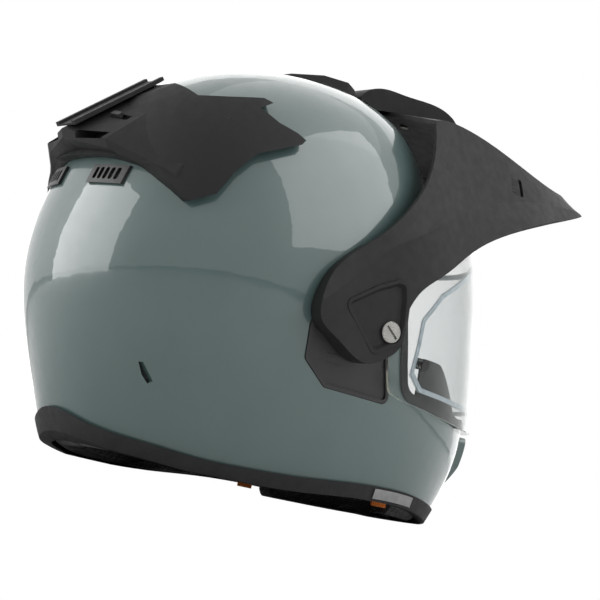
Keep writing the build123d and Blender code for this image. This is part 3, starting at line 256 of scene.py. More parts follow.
@dataclass(frozen=True)
class SoftRubber:
    """Extruded rubber: matte skin with faint drag lines along the band."""

    name: str
    slot: str
    colour: tuple[float, float, float]
    rough: tuple[float, float] = (0.62, 0.78)
    skin_scale: float = 900.0
    drag_scale: float = 420.0
    depth: float = 0.04 * MM

    def material(self) -> bpy.types.Material:
        """Build the rubber."""
        s = Shader(self.name)
        skin = s.noise(self.skin_scale, 3.0)
        drag = s.noise(self.drag_scale, 2.0, (0.15, 0.15, 1.0))
        height = s.add("Math", {0: skin, 1: drag}, operation="ADD").outputs[0]
        tone = s.blend(s.span(s.noise(60.0), 0.0, 1.0), tinted(self.colour, 0.8), tinted(self.colour, 1.3))
        body = s.add("BsdfPrincipled", {
            "Base Color": tone, "Roughness": s.span(s.noise(220.0), *self.rough), "Specular IOR Level": 0.3,
            "Normal": s.bump(height, self.depth)})
        return s.surface(body)


@dataclass(frozen=True)
class BeadFoam:
    """Moulded bead foam: pressed beads with dark joints."""

    name: str
    slot: str
    colour: tuple[float, float, float]
    bead_scale: float = 300.0
    joint_width: float = 0.12
    depth: float = 0.25 * MM

    def material(self) -> bpy.types.Material:
        """Build the foam."""
        s = Shader(self.name)
        bead = s.add("TexVoronoi", {"Vector": s.place.outputs["Object"], "Scale": self.bead_scale},
                     feature="DISTANCE_TO_EDGE").outputs["Distance"]
        joint = s.span(bead, 0.0, 1.0, 0.0, self.joint_width)
        pale = s.span(s.noise(120.0), 0.75, 1.25)
        tone = s.blend(joint, tinted(self.colour, 0.45), self.colour)
        shade = s.add("Mix", {0: 1.0, MIX_FIRST: tone, MIX_SECOND: pale}, data_type="RGBA",
                      blend_type="MULTIPLY").outputs[MIX_RESULT]
        body = s.add("BsdfPrincipled", {
            "Base Color": shade, "Roughness": s.span(s.noise(300.0), 0.6, 0.75), "Specular IOR Level": 0.3,
            "Normal": s.bump(joint, self.depth, 0.8)})
        return s.surface(body)


@dataclass(frozen=True)
class BrushedKnit:
    """Brushed knit over foam: small loops with painted shade between them and painted light on their tops, a
    soft nap and faint wear.
    """

    name: str
    slot: str
    colour: tuple[float, float, float]
    loop_scale: float = 186.0
    nap_scale: float = 1400.0
    wear_scale: float = 45.0
    depth: float = 0.3 * MM

    def loops(self, s: Shader, way: str) -> bpy.types.NodeSocket:
        """Wavy rows of loops.

        Args:
            s: the material.
            way: the direction that the rows follow each other in.

        Returns:
            The rows' height.
        """
        return s.add("TexWave", {"Vector": s.place.outputs["Object"], "Scale": self.loop_scale,
                                 "Distortion": 1.6, "Detail Scale": 2.0}, bands_direction=way).outputs["Fac"]

    def material(self) -> bpy.types.Material:
        """Build the knit."""
        s = Shader(self.name)
        rows, cross = self.loops(s, "Z"), self.loops(s, "DIAGONAL")
        loops = s.add("Math", {0: rows, 1: cross}, operation="MULTIPLY").outputs[0]
        nap = s.noise(self.nap_scale, 4.0)
        height = s.add("Math", {0: loops, 1: nap}, operation="ADD").outputs[0]
        # Painted shade and light: darker between the loops and lighter on their tops, by the mask that also
        # raises them.
        base = s.blend(loops, tinted(self.colour, 0.6), tinted(self.colour, 1.35))
        worn = s.over(s.span(s.noise(self.wear_scale), 0.0, 0.4), base, tinted(self.colour, 1.8))
        body = s.add("BsdfPrincipled", {
            "Base Color": worn, "Roughness": s.span(nap, 0.85, 0.97), "Specular IOR Level": 0.2,
            "Sheen Weight": 0.35, "Sheen Roughness": 0.5, "Normal": s.bump(height, self.depth)})
        return s.surface(body)


@dataclass(frozen=True)
class WovenBand:
    """Woven webbing: ribs along the band, picks across it, with painted shade in the grooves and painted
    light on the crowns.
    """

    name: str
    slot: str
    colour: tuple[float, float, float]
    rib: Direction
    pick: Direction
    rib_pitch: float = 1.6 * MM
    pick_pitch: float = 0.9 * MM
    fuzz_scale: float = 2200.0
    depth: float = 0.35 * MM

    def stripes(self, s: Shader, across: Direction, pitch: float) -> bpy.types.NodeSocket:
        """Even rounded stripes that follow each other along an axis.

        Args:
            s: the material.
            across: the axis that the stripes follow each other along.
            pitch: metres between two stripes.

        Returns:
            The stripes' height, 0 to 1.
        """
        spot = s.add("VectorMath", {0: s.place.outputs["Object"], 1: across.value},
                     operation="DOT_PRODUCT").outputs["Value"]
        turns = s.add("Math", {0: spot, 1: math.tau / pitch}, operation="MULTIPLY").outputs[0]
        wave = s.add("Math", {0: turns}, operation="SINE").outputs[0]
        return s.span(wave, 0.0, 1.0, -1.0, 1.0)

    def material(self) -> bpy.types.Material:
        """Build the webbing."""
        s = Shader(self.name)
        ribs = self.stripes(s, self.rib, self.rib_pitch)
        picks = self.stripes(s, self.pick, self.pick_pitch)
        weave = s.add("Math", {0: ribs, 1: picks}, operation="MULTIPLY").outputs[0]
        fuzz = s.noise(self.fuzz_scale, 3.0)
        height = s.add("Math", {0: weave, 1: s.span(fuzz, 0.0, 0.4)}, operation="ADD").outputs[0]
        # The base colour is painted shade and light: darker in the weave's grooves and lighter on its crowns,
        # by the mask that also raises them.
        body = s.add("BsdfPrincipled", {
            "Base Color": s.blend(weave, tinted(self.colour, 0.55), tinted(self.colour, 1.25)),
            "Roughness": s.span(fuzz, 0.7, 0.9), "Specular IOR Level": 0.3, "Sheen Weight": 0.25,
            "Normal": s.bump(height, self.depth)})
        return s.surface(body)


@dataclass(frozen=True)
class ClearSheet:
    """Clear curved sheet: see-through face, reflections by angle with a painted pale sheen at glancing
    angles, and painted pale light on the cut edge.
    """

    name: str
    slot: str
    tint: tuple[float, float, float]
    # edge, edge_share and edge_span: colour, share and mask span of the painted light on the cut edge, a pale
    # diffuse colour standing in for the white surround seen through the sheet's thickness.
    edge: tuple[float, float, float]
    haze: float = 0.04
    falloff: float = 4.5
    dust_scale: float = 700.0
    edge_share: float = 0.8
    edge_span: tuple[float, float] = (0.22, 0.42)
    centre: tuple[float, float, float] = tuple(DOME_CENTRE)

    def edge_light_mask(self, s: Shader) -> bpy.types.NodeSocket:
        """Grey value that is 1 where the surface faces along the sheet, as its cut edge does: the mask of the
        painted edge light.

        Args:
            s: the material.

        Returns:
            The edge's share.
        """
        out = s.add("VectorMath", {0: s.place.outputs["Object"], 1: self.centre},
                    operation="SUBTRACT").outputs[0]
        ray = s.add("VectorMath", {0: out}, operation="NORMALIZE").outputs[0]
        facing = s.add("VectorMath", {0: ray, 1: s.place.outputs["Normal"]},
                       operation="DOT_PRODUCT").outputs["Value"]
        size = s.add("Math", {0: facing}, operation="ABSOLUTE").outputs[0]
        return s.span(size, 1.0, 0.0, *self.edge_span)

    def material(self) -> bpy.types.Material:
        """Build the sheet."""
        s = Shader(self.name)
        dust = s.noise(self.dust_scale, 4.0)
        clear = s.add("BsdfTransparent", {"Color": (*self.tint, 1.0)})
        # The pale base colour of this layer is a painted sheen: where the share below grows at glancing
        # angles, it shows as diffuse white beside the layer's true coat reflections.
        gloss = s.add("BsdfPrincipled", {
            "Base Color": s.blend(s.span(dust, 0.0, 1.0), (0.8, 0.84, 0.82), (0.9, 0.93, 0.92)),
            "Roughness": s.span(s.noise(160.0), 0.03, 0.06), "Normal": s.bump(s.noise(40.0, 1.0), 0.04 * MM),
            "Coat Weight": 1.0, "Coat Roughness": 0.02})
        # Share of the pale layer: painted sheen that grows at glancing angles, plus haze that varies with the
        # dust noise.
        slope = s.add("LayerWeight", {"Blend": 0.5}).outputs["Facing"]
        angle = s.add("Math", {0: slope, 1: self.falloff}, operation="POWER").outputs[0]
        share = s.add("Math", {0: angle, 1: s.span(dust, self.haze * 0.6, self.haze * 1.4)}, operation="ADD",
                      use_clamp=True).outputs[0]
        face = s.add("MixShader", {0: share, 1: clear.outputs[0], 2: gloss.outputs[0]})
        # Painted light: the cut edge gets a pale diffuse colour in place of the white surround seen through
        # the sheet.
        painted_edge_light = s.add("BsdfPrincipled", {
            "Base Color": s.blend(dust, tinted(self.edge, 0.92), self.edge),
            "Roughness": s.span(dust, 0.2, 0.35)})
        edge = s.add("Math", {0: self.edge_light_mask(s), 1: self.edge_share}, operation="MULTIPLY").outputs[0]
        return s.surface(s.add("MixShader", {0: edge, 1: face.outputs[0], 2: painted_edge_light.outputs[0]}))


@dataclass(frozen=True)
class ClearBead:
    """Cured silicone bead: milky, glossy, half see-through."""

    name: str
    slot: str
    colour: tuple[float, float, float]
    body: float = 0.55
    milk_scale: float = 240.0
    milk_change: float = 0.08

    def material(self) -> bpy.types.Material:
        """Build the bead."""
        s = Shader(self.name)
        milk = s.noise(self.milk_scale, 3.0)
        clear = s.add("BsdfTransparent", {"Color": (0.93, 0.96, 0.97, 1.0)})
        skin = s.add("BsdfPrincipled", {
            "Base Color": s.blend(milk, tinted(self.colour, 0.9), self.colour),
            "Roughness": s.span(milk, 0.12, 0.2), "Coat Weight": 1.0, "Coat Roughness": 0.04})
        share = s.span(milk, self.body - self.milk_change, self.body + self.milk_change)
        return s.surface(s.add("MixShader", {0: share, 1: clear.outputs[0], 2: skin.outputs[0]}))


@dataclass(frozen=True)
class MachinedMetal:
    """Machined or tumbled metal: fine marks one way and uneven gloss."""

    name: str
    slot: str
    colour: tuple[float, float, float]
    marks: Direction
    rough: tuple[float, float] = (0.22, 0.4)
    marks_scale: float = 2400.0
    marks_stretch: float = 0.08
    marks_depth: float = 0.012 * MM
    tarnish_scale: float = 180.0

    def material(self) -> bpy.types.Material:
        """Build the metal."""
        s = Shader(self.name)
        stretch = tuple(self.marks_stretch if axis else 1.0 for axis in self.marks.value)
        marks = s.noise(self.marks_scale, 3.0, stretch)
        tarnish = s.noise(self.tarnish_scale, 3.0)
        tone = s.blend(s.span(tarnish, 0.0, 1.0), tinted(self.colour, 0.85), tinted(self.colour, 1.08))
        body = s.add("BsdfPrincipled", {
            "Base Color": tone, "Metallic": 1.0, "Roughness": s.span(marks, *self.rough),
            "Normal": s.bump(marks, self.marks_depth)})
        return s.surface(body)


SHELL_PAINT = GlossPaint("clear_coated_shell", "shell_paint", (0.062, 0.102, 0.097))
CHARCOAL = MouldedPlastic("grained_charcoal", "matte_charcoal", (0.013, 0.013, 0.0135), (0.52, 0.64),
                          specular=0.2)
SATIN = MouldedPlastic("satin_black_plastic", "satin_black", (0.011, 0.011, 0.0115), (0.36, 0.46),
                       grain_scale=1900.0, grain_depth=0.03 * MM)
PLATE = MouldedPlastic("side_plate_plastic", "satin_black", (0.020, 0.019, 0.020), (0.4, 0.5),
                       grain_scale=1700.0, grain_depth=0.04 * MM)
RUBBER = SoftRubber("trim_band_rubber", "trim_rubber", (0.014, 0.014, 0.015))
FOAM = BeadFoam("pressed_bead_foam", "foam", (0.045, 0.045, 0.049))
KNIT = BrushedKnit("brushed_lining_knit", "lining", (0.026, 0.026, 0.029))
STRAP = WovenBand("black_strap_webbing", "webbing", (0.020, 0.020, 0.022), Direction.ALONG_Y,
                  Direction.ALONG_X)
PULL_TAB = WovenBand("orange_tab_webbing", "tab_orange", (0.95, 0.24, 0.02), Direction.ALONG_Y,
                     Direction.ALONG_Z)
# Each sheet's fourth colour is painted light on its cut edge: pale cream on the visor, pale blue on the lens.
CLEAR_VISOR = ClearSheet("clear_visor_sheet", "clear_visor", (0.952, 0.955, 0.952), (0.78, 0.80, 0.66),
                         haze=0.018)
CLEAR_LENS = ClearSheet("clear_inner_lens", "lens_clear", (0.962, 0.968, 0.972), (0.62, 0.76, 0.80),
                        haze=0.012)
SILICONE = ClearBead("milky_silicone_bead", "seal_silicone", (0.62, 0.72, 0.78))
SCREW_STEEL = MachinedMetal("turned_screw_steel", "screw_metal", (0.30, 0.295, 0.28), Direction.ALONG_Y)
RING_STEEL = MachinedMetal("tumbled_ring_steel", "ring_metal", (0.52, 0.52, 0.51), Direction.ALONG_Z,
                           rough=(0.3, 0.45))
TAG_FOIL = MachinedMetal("satin_tag_foil", "tag_silver", (0.30, 0.30, 0.30), Direction.ALONG_Z,
                         rough=(0.28, 0.4))
THREAD = WovenBand("stitching_thread", "webbing", (0.05, 0.05, 0.055), Direction.ALONG_Z, Direction.ALONG_X,
                   rib_pitch=0.4 * MM, pick_pitch=0.6 * MM)
MADE: dict[str, bpy.types.Material] = {}


def finish_material(finish: object) -> bpy.types.Material:
    """Return a finish's material, built at its first use."""
    if finish.name not in MADE:
        MADE[finish.name] = finish.material()
    return MADE[finish.name]


def dress(node: str, finish: object) -> None:
    """Give a CAD node that stays its finish in every slot.

    Args:
        node: the CAD node's name.
        finish: the finish that it takes.
    """
    made = finish_material(finish)
    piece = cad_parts[node]
    for slot in piece.material_slots:
        slot.material = made
    if not piece.material_slots:
        piece.data.materials.append(made)
    LOG.info("dressed %s with %s", node, finish.name)


def settle(name: str, bm: bmesh.types.BMesh, finish: object, body: str, smooth: bool = True
           ) -> bpy.types.Object:
    """Turn a finished bmesh into a piece that rides on a body.

    Args:
        name: the piece's name.
        bm: its shape in the row's frame, which is freed.
        finish: its finish.
        body: the CAD body that it rides on.
        smooth: whether its faces are shaded smooth.

    Returns:
        The piece.
    """
    bmesh.ops.recalc_face_normals(bm, faces=bm.faces)
    mesh = bpy.data.meshes.new(name)
    bm.to_mesh(mesh)
    bm.free()
    for face in mesh.polygons:
        face.use_smooth = smooth
    piece = bpy.data.objects.new(name, mesh)
    bpy.context.scene.collection.objects.link(piece)
    mesh.materials.append(finish_material(finish))
    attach(piece, body)
    LOG.info("built %s with %d faces", name, len(mesh.polygons))
    return piece


def node_tree(node: str) -> BVHTree:
    """Return a CAD node's surface for ray casts."""
    bm = bmesh.new()
    bm.from_mesh(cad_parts[node].data)
    tree = BVHTree.FromBMesh(bm)
    bm.free()
    return tree


@dataclass
class Stitching:
    """A row of sewn threads, each a small long bead that is half sunk in the cloth."""

    length: float = 2.6 * MM
    gap: float = 1.1 * MM
    thick: float = 0.5 * MM
    proud: float = 0.12 * MM

    def sew(self, bm: bmesh.types.BMesh, start: Vector, end: Vector, out: Vector) -> None:
        """Add a row of threads.

        Args:
            bm: the mesh that they are added to.
            start: the row's first point on the cloth.
            end: its last point.
            out: the direction away from the cloth.
        """
        way = (end - start).normalized()
        side = out.cross(way).normalized()
        turn = Matrix((way, side, way.cross(side))).transposed().to_4x4()
        count = max(1, int(((end - start).length + self.gap) / (self.length + self.gap)))
        pitch = (end - start).length / count
        for step in range(count):
            spot = start + way * pitch * (step + 0.5) + out * self.proud
            shape = Matrix.Diagonal((self.length / 2, self.thick / 2, self.thick / 2, 1.0))
            bmesh.ops.create_icosphere(bm, subdivisions=1, radius=1.0,
                                       matrix=Matrix.Translation(spot) @ turn @ shape)


@dataclass
class Band:
    """A woven band along a path, with soft edges."""

    path: list[Vector]
    across: Vector
    width: float
    thick: float
    bend: float = 6.0 * MM
    arc_steps: int = 6
    lanes: int = 6
    closed: bool = False
    rim_angle: float = 1.2
    rim_share: float = 0.3

    def rounded(self) -> list[Vector]:
        """Return the path with its corners rounded."""
        line: list[Vector] = []
        count = len(self.path)
        for index, corner in enumerate(self.path):
            if not self.closed and index in (0, count - 1):
                line.append(corner)
                continue
            back, ahead = self.path[index - 1] - corner, self.path[(index + 1) % count] - corner
            reach = min(self.bend, back.length * 0.49, ahead.length * 0.49)
            first, last = corner + back.normalized() * reach, corner + ahead.normalized() * reach
            for step in range(self.arc_steps + 1):
                t = step / self.arc_steps
                line.append(first.lerp(corner, t).lerp(corner.lerp(last, t), t))
        return line

    def build(self, bm: bmesh.types.BMesh) -> None:
        """Add the band to a mesh: an edge across it is drawn along the path, thickened and softened.

        Args:
            bm: the mesh that it is added to.
        """
        line = self.rounded()
        half = self.across.normalized() * self.width / 2
        row = [bm.verts.new(line[0] - half + half * 2 * k / self.lanes) for k in range(self.lanes + 1)]
        edges = [bm.edges.new(pair) for pair in zip(row, row[1:])]
        first, faces = list(edges), []
        stops = line[1:] + ([line[0]] if self.closed else [])
        here = line[0]
        for stop in stops:
            made = bmesh.ops.extrude_edge_only(bm, edges=edges)["geom"]
            fresh = [item for item in made if isinstance(item, bmesh.types.BMVert)]
            edges = [item for item in made if isinstance(item, bmesh.types.BMEdge)
                     and all(v in fresh for v in item.verts)]
            faces += [item for item in made if isinstance(item, bmesh.types.BMFace)]
            bmesh.ops.translate(bm, verts=fresh, vec=stop - here)
            here = stop
        if self.closed:
            ends = {v for edge in edges + first for v in edge.verts}
            bmesh.ops.remove_doubles(bm, verts=list(ends), dist=1e-6)
            faces = [face for face in faces if face.is_valid]
        bmesh.ops.recalc_face_normals(bm, faces=faces)
        for v in {v for face in faces for v in face.verts}:
            out = sum((face.normal for face in v.link_faces), Vector()).normalized()
            v.co += out * self.thick / 2
        bmesh.ops.solidify(bm, geom=faces, thickness=self.thick)


def thick_band(name: str, bands: list[Band], finish: object, body: str) -> bpy.types.Object:
    """Build a piece of one or more bands whose middle planes follow their paths.

    Args:
        name: the piece's name.
        bands: the bands.
        finish: its finish.
        body: the body that it rides on.

    Returns:
        The piece.
    """
    whole = bmesh.new()
    for band in bands:
        bm = bmesh.new()
        band.build(bm)
        bmesh.ops.recalc_face_normals(bm, faces=bm.faces)
        rim = [edge for edge in bm.edges
               if len(edge.link_faces) == 2 and edge.calc_face_angle(0.0) > band.rim_angle]
        bmesh.ops.bevel(bm, geom=rim, offset=band.thick * band.rim_share, segments=2, profile=0.5,
                        affect="EDGES", material=-1)
        shell = bpy.data.meshes.new("band_draft")
        bm.to_mesh(shell)
        bm.free()
        whole.from_mesh(shell)
        bpy.data.meshes.remove(shell)
    return settle(name, whole, finish, body)


@dataclass
class PaddedForm:
    """A sewn foam piece: its node's form remeshed, pulled in, swollen as cloth and channelled along seams."""

    node: str
    piece: str
    voxel: float = 3.6 * MM
    pull_in: float = 1.1 * MM
    cap: float = 1.0 * MM
    pressure: float = 4.0
    frames: int = 16
    quality: int = 4
    smoothing: int = 3
    fill: float = 0.7
    seam_half: float = 3.2 * MM
    seam_depth: float = 1.3 * MM
    seams: list[tuple[Vector, Vector]] = field(default_factory=list)

    def remeshed(self) -> bpy.types.Object:
        """Return an object with the node's form in even faces."""
        bm = bmesh.new()
        bm.from_mesh(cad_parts[self.node].data)
        bmesh.ops.remove_doubles(bm, verts=bm.verts, dist=WELD)
        draft = bpy.data.meshes.new(self.piece + "_draft")
        bm.to_mesh(draft)
        bm.free()
        form = bpy.data.objects.new(self.piece, draft)
        bpy.context.scene.collection.objects.link(form)
        even = form.modifiers.new("even", "REMESH")
        even.mode, even.voxel_size, even.use_smooth_shade = "VOXEL", self.voxel, True
        self.apply(form)
        return form

    def apply(self, form: bpy.types.Object) -> None:
        """Apply the object's modifiers to its mesh."""
        shape = bpy.data.meshes.new_from_object(form.evaluated_get(bpy.context.evaluated_depsgraph_get()))
        form.modifiers.clear()
        form.data = shape

    def pulled_in(self, form: bpy.types.Object) -> None:
        """Smooth the form and pull its skin in, to leave room for the swelling."""
        bm = bmesh.new()
        bm.from_mesh(form.data)
        for _ in range(self.smoothing):
            bmesh.ops.smooth_vert(bm, verts=bm.verts, factor=0.5, use_axis_x=True, use_axis_y=True,
                                  use_axis_z=True)
        bm.normal_update()
        moves = [v.normal * -self.pull_in for v in bm.verts]
        for v, move in zip(bm.verts, moves):
            v.co += move
        bm.to_mesh(form.data)
        bm.free()

    def swollen(self, form: bpy.types.Object) -> None:
        """Swell the form as cloth under pressure and cap how far a point moves."""
        start = [v.co.copy() for v in form.data.vertices]
        cloth = form.modifiers.new("swell", "CLOTH")
        cloth.settings.use_pressure = True
        cloth.settings.uniform_pressure_force = self.pressure
        cloth.settings.effector_weights.gravity = 0.0
        cloth.settings.quality = self.quality
        scene = bpy.context.scene
        for step in range(1, self.frames + 1):
            scene.frame_set(step)
        puffed = form.evaluated_get(bpy.context.evaluated_depsgraph_get())
        ends = [v.co.copy() for v in puffed.data.vertices]
        form.modifiers.clear()
        scene.frame_set(1)
        for v, old, new in zip(form.data.vertices, start, ends):
            move = new - old
            v.co = old + (move if move.length <= self.cap else move.normalized() * self.cap)

    def channelled(self, form: bpy.types.Object) -> None:
        """Refine the skin once and sink the sewn channels in it."""
        fine = form.modifiers.new("fine", "SUBSURF")
        fine.levels = fine.render_levels = 1
        self.apply(form)
        bm = bmesh.new()
        bm.from_mesh(form.data)
        bm.normal_update()
        moves = []
        for v in bm.verts:
            depth = 0.0
            for spot, way in self.seams:
                share = abs((v.co - spot).dot(way)) / self.seam_half
                if share < 1.0:
                    depth = max(depth, (1.0 - share * share) ** 2 * self.seam_depth)
            moves.append(v.normal * -depth)
        for v, move in zip(bm.verts, moves):
            v.co += move
        bm.to_mesh(form.data)
        bm.free()

    def build(self) -> bpy.types.Object:
        """Returns:
            The finished pad.
        """
        form = self.remeshed()
        self.pulled_in(form)
        self.swollen(form)
        self.channelled(form)
        for face in form.data.polygons:
            face.use_smooth = True
        form.data.materials.clear()
        form.data.materials.append(finish_material(KNIT))
        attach(form, HELMET)
        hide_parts(self.node)
        LOG.info("padded %s with %d faces", self.piece, len(form.data.polygons))
        return form


@dataclass
class Shell:
    """Painted shell with its trims and tag."""

    def dress(self) -> None:
        """Dress the shell's nodes."""
        dress("outer_shell", SHELL_PAINT)
        dress("chin_vent_housing", SHELL_PAINT)
        dress("base_trim", RUBBER)
        dress("eyeport_trim", RUBBER)
        dress("breath_guard", RUBBER)
        dress("trim_tag", TAG_FOIL)


@dataclass
class SidePlates:
    """Side plates with painted shade for three small holes and two fine engraved lines: dark raised dots and
    strips stand where the holes and grooves are.
    """

    # dots and lines: places on the plate, in millimetres, of the painted shade for the holes and the engraved
    # lines.
    dots: tuple[tuple[float, float], ...] = ((48.5, 99.8), (47.9, 93.8), (44.8, 87.8))
    lines: tuple[tuple[tuple[float, float], tuple[float, float]], ...] = (
        ((41.0, 92.6), (29.5, 92.9)), ((41.2, 86.6), (27.0, 86.4)))
    dot_radius: float = 0.55 * MM
    dot_proud: float = 0.06 * MM
    line_width: float = 0.5 * MM
    line_proud: float = 0.08 * MM
    line_steps: int = 10
    ray_start: float = 0.2

    def on_plate(self, tree: BVHTree, side: Side, y: float, z: float) -> tuple[Vector, Vector]:
        """Find a point of the plate's face.

        Args:
            tree: the plate's surface.
            side: which plate.
            y: the point's place along the helmet, in millimetres.
            z: its height, in millimetres.

        Returns:
            The point and the face's outward direction.
        """
        start = Vector((side.value * self.ray_start, y * MM, z * MM))
        spot, normal, _, _ = tree.ray_cast(start, Vector((-side.value, 0, 0)))
        return spot, normal if normal.x * side.value > 0 else -normal

    def build(self, side: Side) -> bpy.types.Object:
        """Build one plate's painted shade marks.

        Args:
            side: which plate.

        Returns:
            The marks as one piece.
        """
        tree = node_tree("side_plate_" + side.name.lower())
        bm = bmesh.new()
        for y, z in self.dots:
            spot, out = self.on_plate(tree, side, y, z)
            turn = out.to_track_quat("Z", "Y").to_matrix().to_4x4()
            # A dark raised disc: painted shade in place of a hole.
            bmesh.ops.create_cone(bm, cap_ends=True, segments=14, radius1=self.dot_radius,
                                  radius2=self.dot_radius * 0.8, depth=self.dot_proud * 2,
                                  matrix=Matrix.Translation(spot) @ turn)
        for (y0, z0), (y1, z1) in self.lines:
            path = []
            for step in range(self.line_steps + 1):
                t = step / self.line_steps
                spot, out = self.on_plate(tree, side, y0 + (y1 - y0) * t, z0 + (z1 - z0) * t)
                path.append(spot + out * self.line_proud * 0.4)
            # A dark raised strip: painted shade in place of an engraved groove.
            Band(path, Vector((0, 0, 1)), self.line_width, self.line_proud, arc_steps=1, lanes=1).build(bm)
        # The marks take the darker satin black over the plate's colour, as painted shade.
        return settle("plate_shade_marks_" + side.name.lower(), bm, SATIN, HELMET, smooth=False)

    def dress(self) -> None:
        """Dress both plates and add their painted shade marks."""
        for side in Side:
            word = side.name.lower()
            dress("side_plate_" + word, PLATE)
            dress("pivot_base_" + word, SATIN)
            dress("side_screw_" + word, SCREW_STEEL)
            self.build(side)


@dataclass
class Peak:
    """Peak, its bridge and bolt."""

    def dress(self) -> None:
        """Dress the peak's nodes."""
        dress("peak", CHARCOAL)
        dress("peak_bridge", CHARCOAL)
        dress("peak_front_screw", SCREW_STEEL)


@dataclass
class Vents:
    """Vents, spoiler, duct and their sliders."""

    charcoal: tuple[str, ...] = ("top_vent_cover", "rear_spoiler", "rear_duct")
    satin: tuple[str, ...] = (
        "top_vent_slider", "exhaust_slider_left", "exhaust_slider_right", "exhaust_grilles",
        "chin_vent_grille", "chin_vent_shutter", "brow_vent", "brow_shutter_left", "brow_shutter_right")

    def dress(self) -> None:
        """Dress the vents' nodes."""
        for node in self.charcoal:
            dress(node, CHARCOAL)
        for node in self.satin:
            dress(node, SATIN)


@dataclass
class VisorSet:
    """Clear visor, its inner lens, pins, hubs and tab."""

    def dress(self) -> None:
        """Dress the visor's nodes."""
        dress("visor", CLEAR_VISOR)
        dress("visor_tab", CLEAR_VISOR)
        dress("inner_lens", CLEAR_LENS)
        dress("lens_seal", SILICONE)
        dress("lens_pins", SATIN)
        dress("visor_pivot_hubs", SATIN)


@dataclass
class Lining:
    """Foam liners, padded crown, cheek pads, neck roll and chin curtain."""

    crown_seams: tuple[float, ...] = (-64.0, -22.0, 22.0, 64.0)
    brow_seam: float = 158.0
    cheek_shares: tuple[float, ...] = (0.3, 0.7)
    roll_seams: tuple[float, ...] = (-78.0, -40.0, 0.0, 40.0, 78.0)

    def pads(self) -> list[PaddedForm]:
        """Return the padded forms with their seams."""
        along = Vector((1, 0, 0))
        crown = [(Vector((x * MM, 0, 0)), along) for x in self.crown_seams]
        crown.append((Vector((0, 0, self.brow_seam * MM)), Vector((0, 0, 1))))
        forms = [
            PaddedForm("comfort_liner", "crown_padding", voxel=3.8 * MM, seams=crown, fill=0.6),
            PaddedForm("neck_roll", "neck_roll_padding", voxel=2.4 * MM, pull_in=0.9 * MM, cap=0.8 * MM,
                       smoothing=2, seams=[(Vector((x * MM, 0, 0)), along) for x in self.roll_seams]),
            PaddedForm("chin_curtain", "chin_curtain_cloth", voxel=1.6 * MM, pull_in=0.3 * MM, cap=0.3 * MM,
                       smoothing=1, seam_depth=0.3 * MM, seams=[(Vector((0, 0, 0)), along)], fill=0.3)]
        for side in Side:
            word = side.name.lower()
            low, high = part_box("cheek_pad_" + word)
            seams = [(Vector((0, low.y + (high.y - low.y) * share, 0)), Vector((0, 1, 0)))
                     for share in self.cheek_shares]
            forms.append(PaddedForm("cheek_pad_" + word, "cheek_padding_" + word, voxel=2.6 * MM, seams=seams,
                                    fill=0.8))
        return forms

    def dress(self) -> None:
        """Dress the foam and build the pads."""
        dress("eps_liner", FOAM)
        dress("chin_eps", FOAM)
        for form in self.pads():
            form.build()


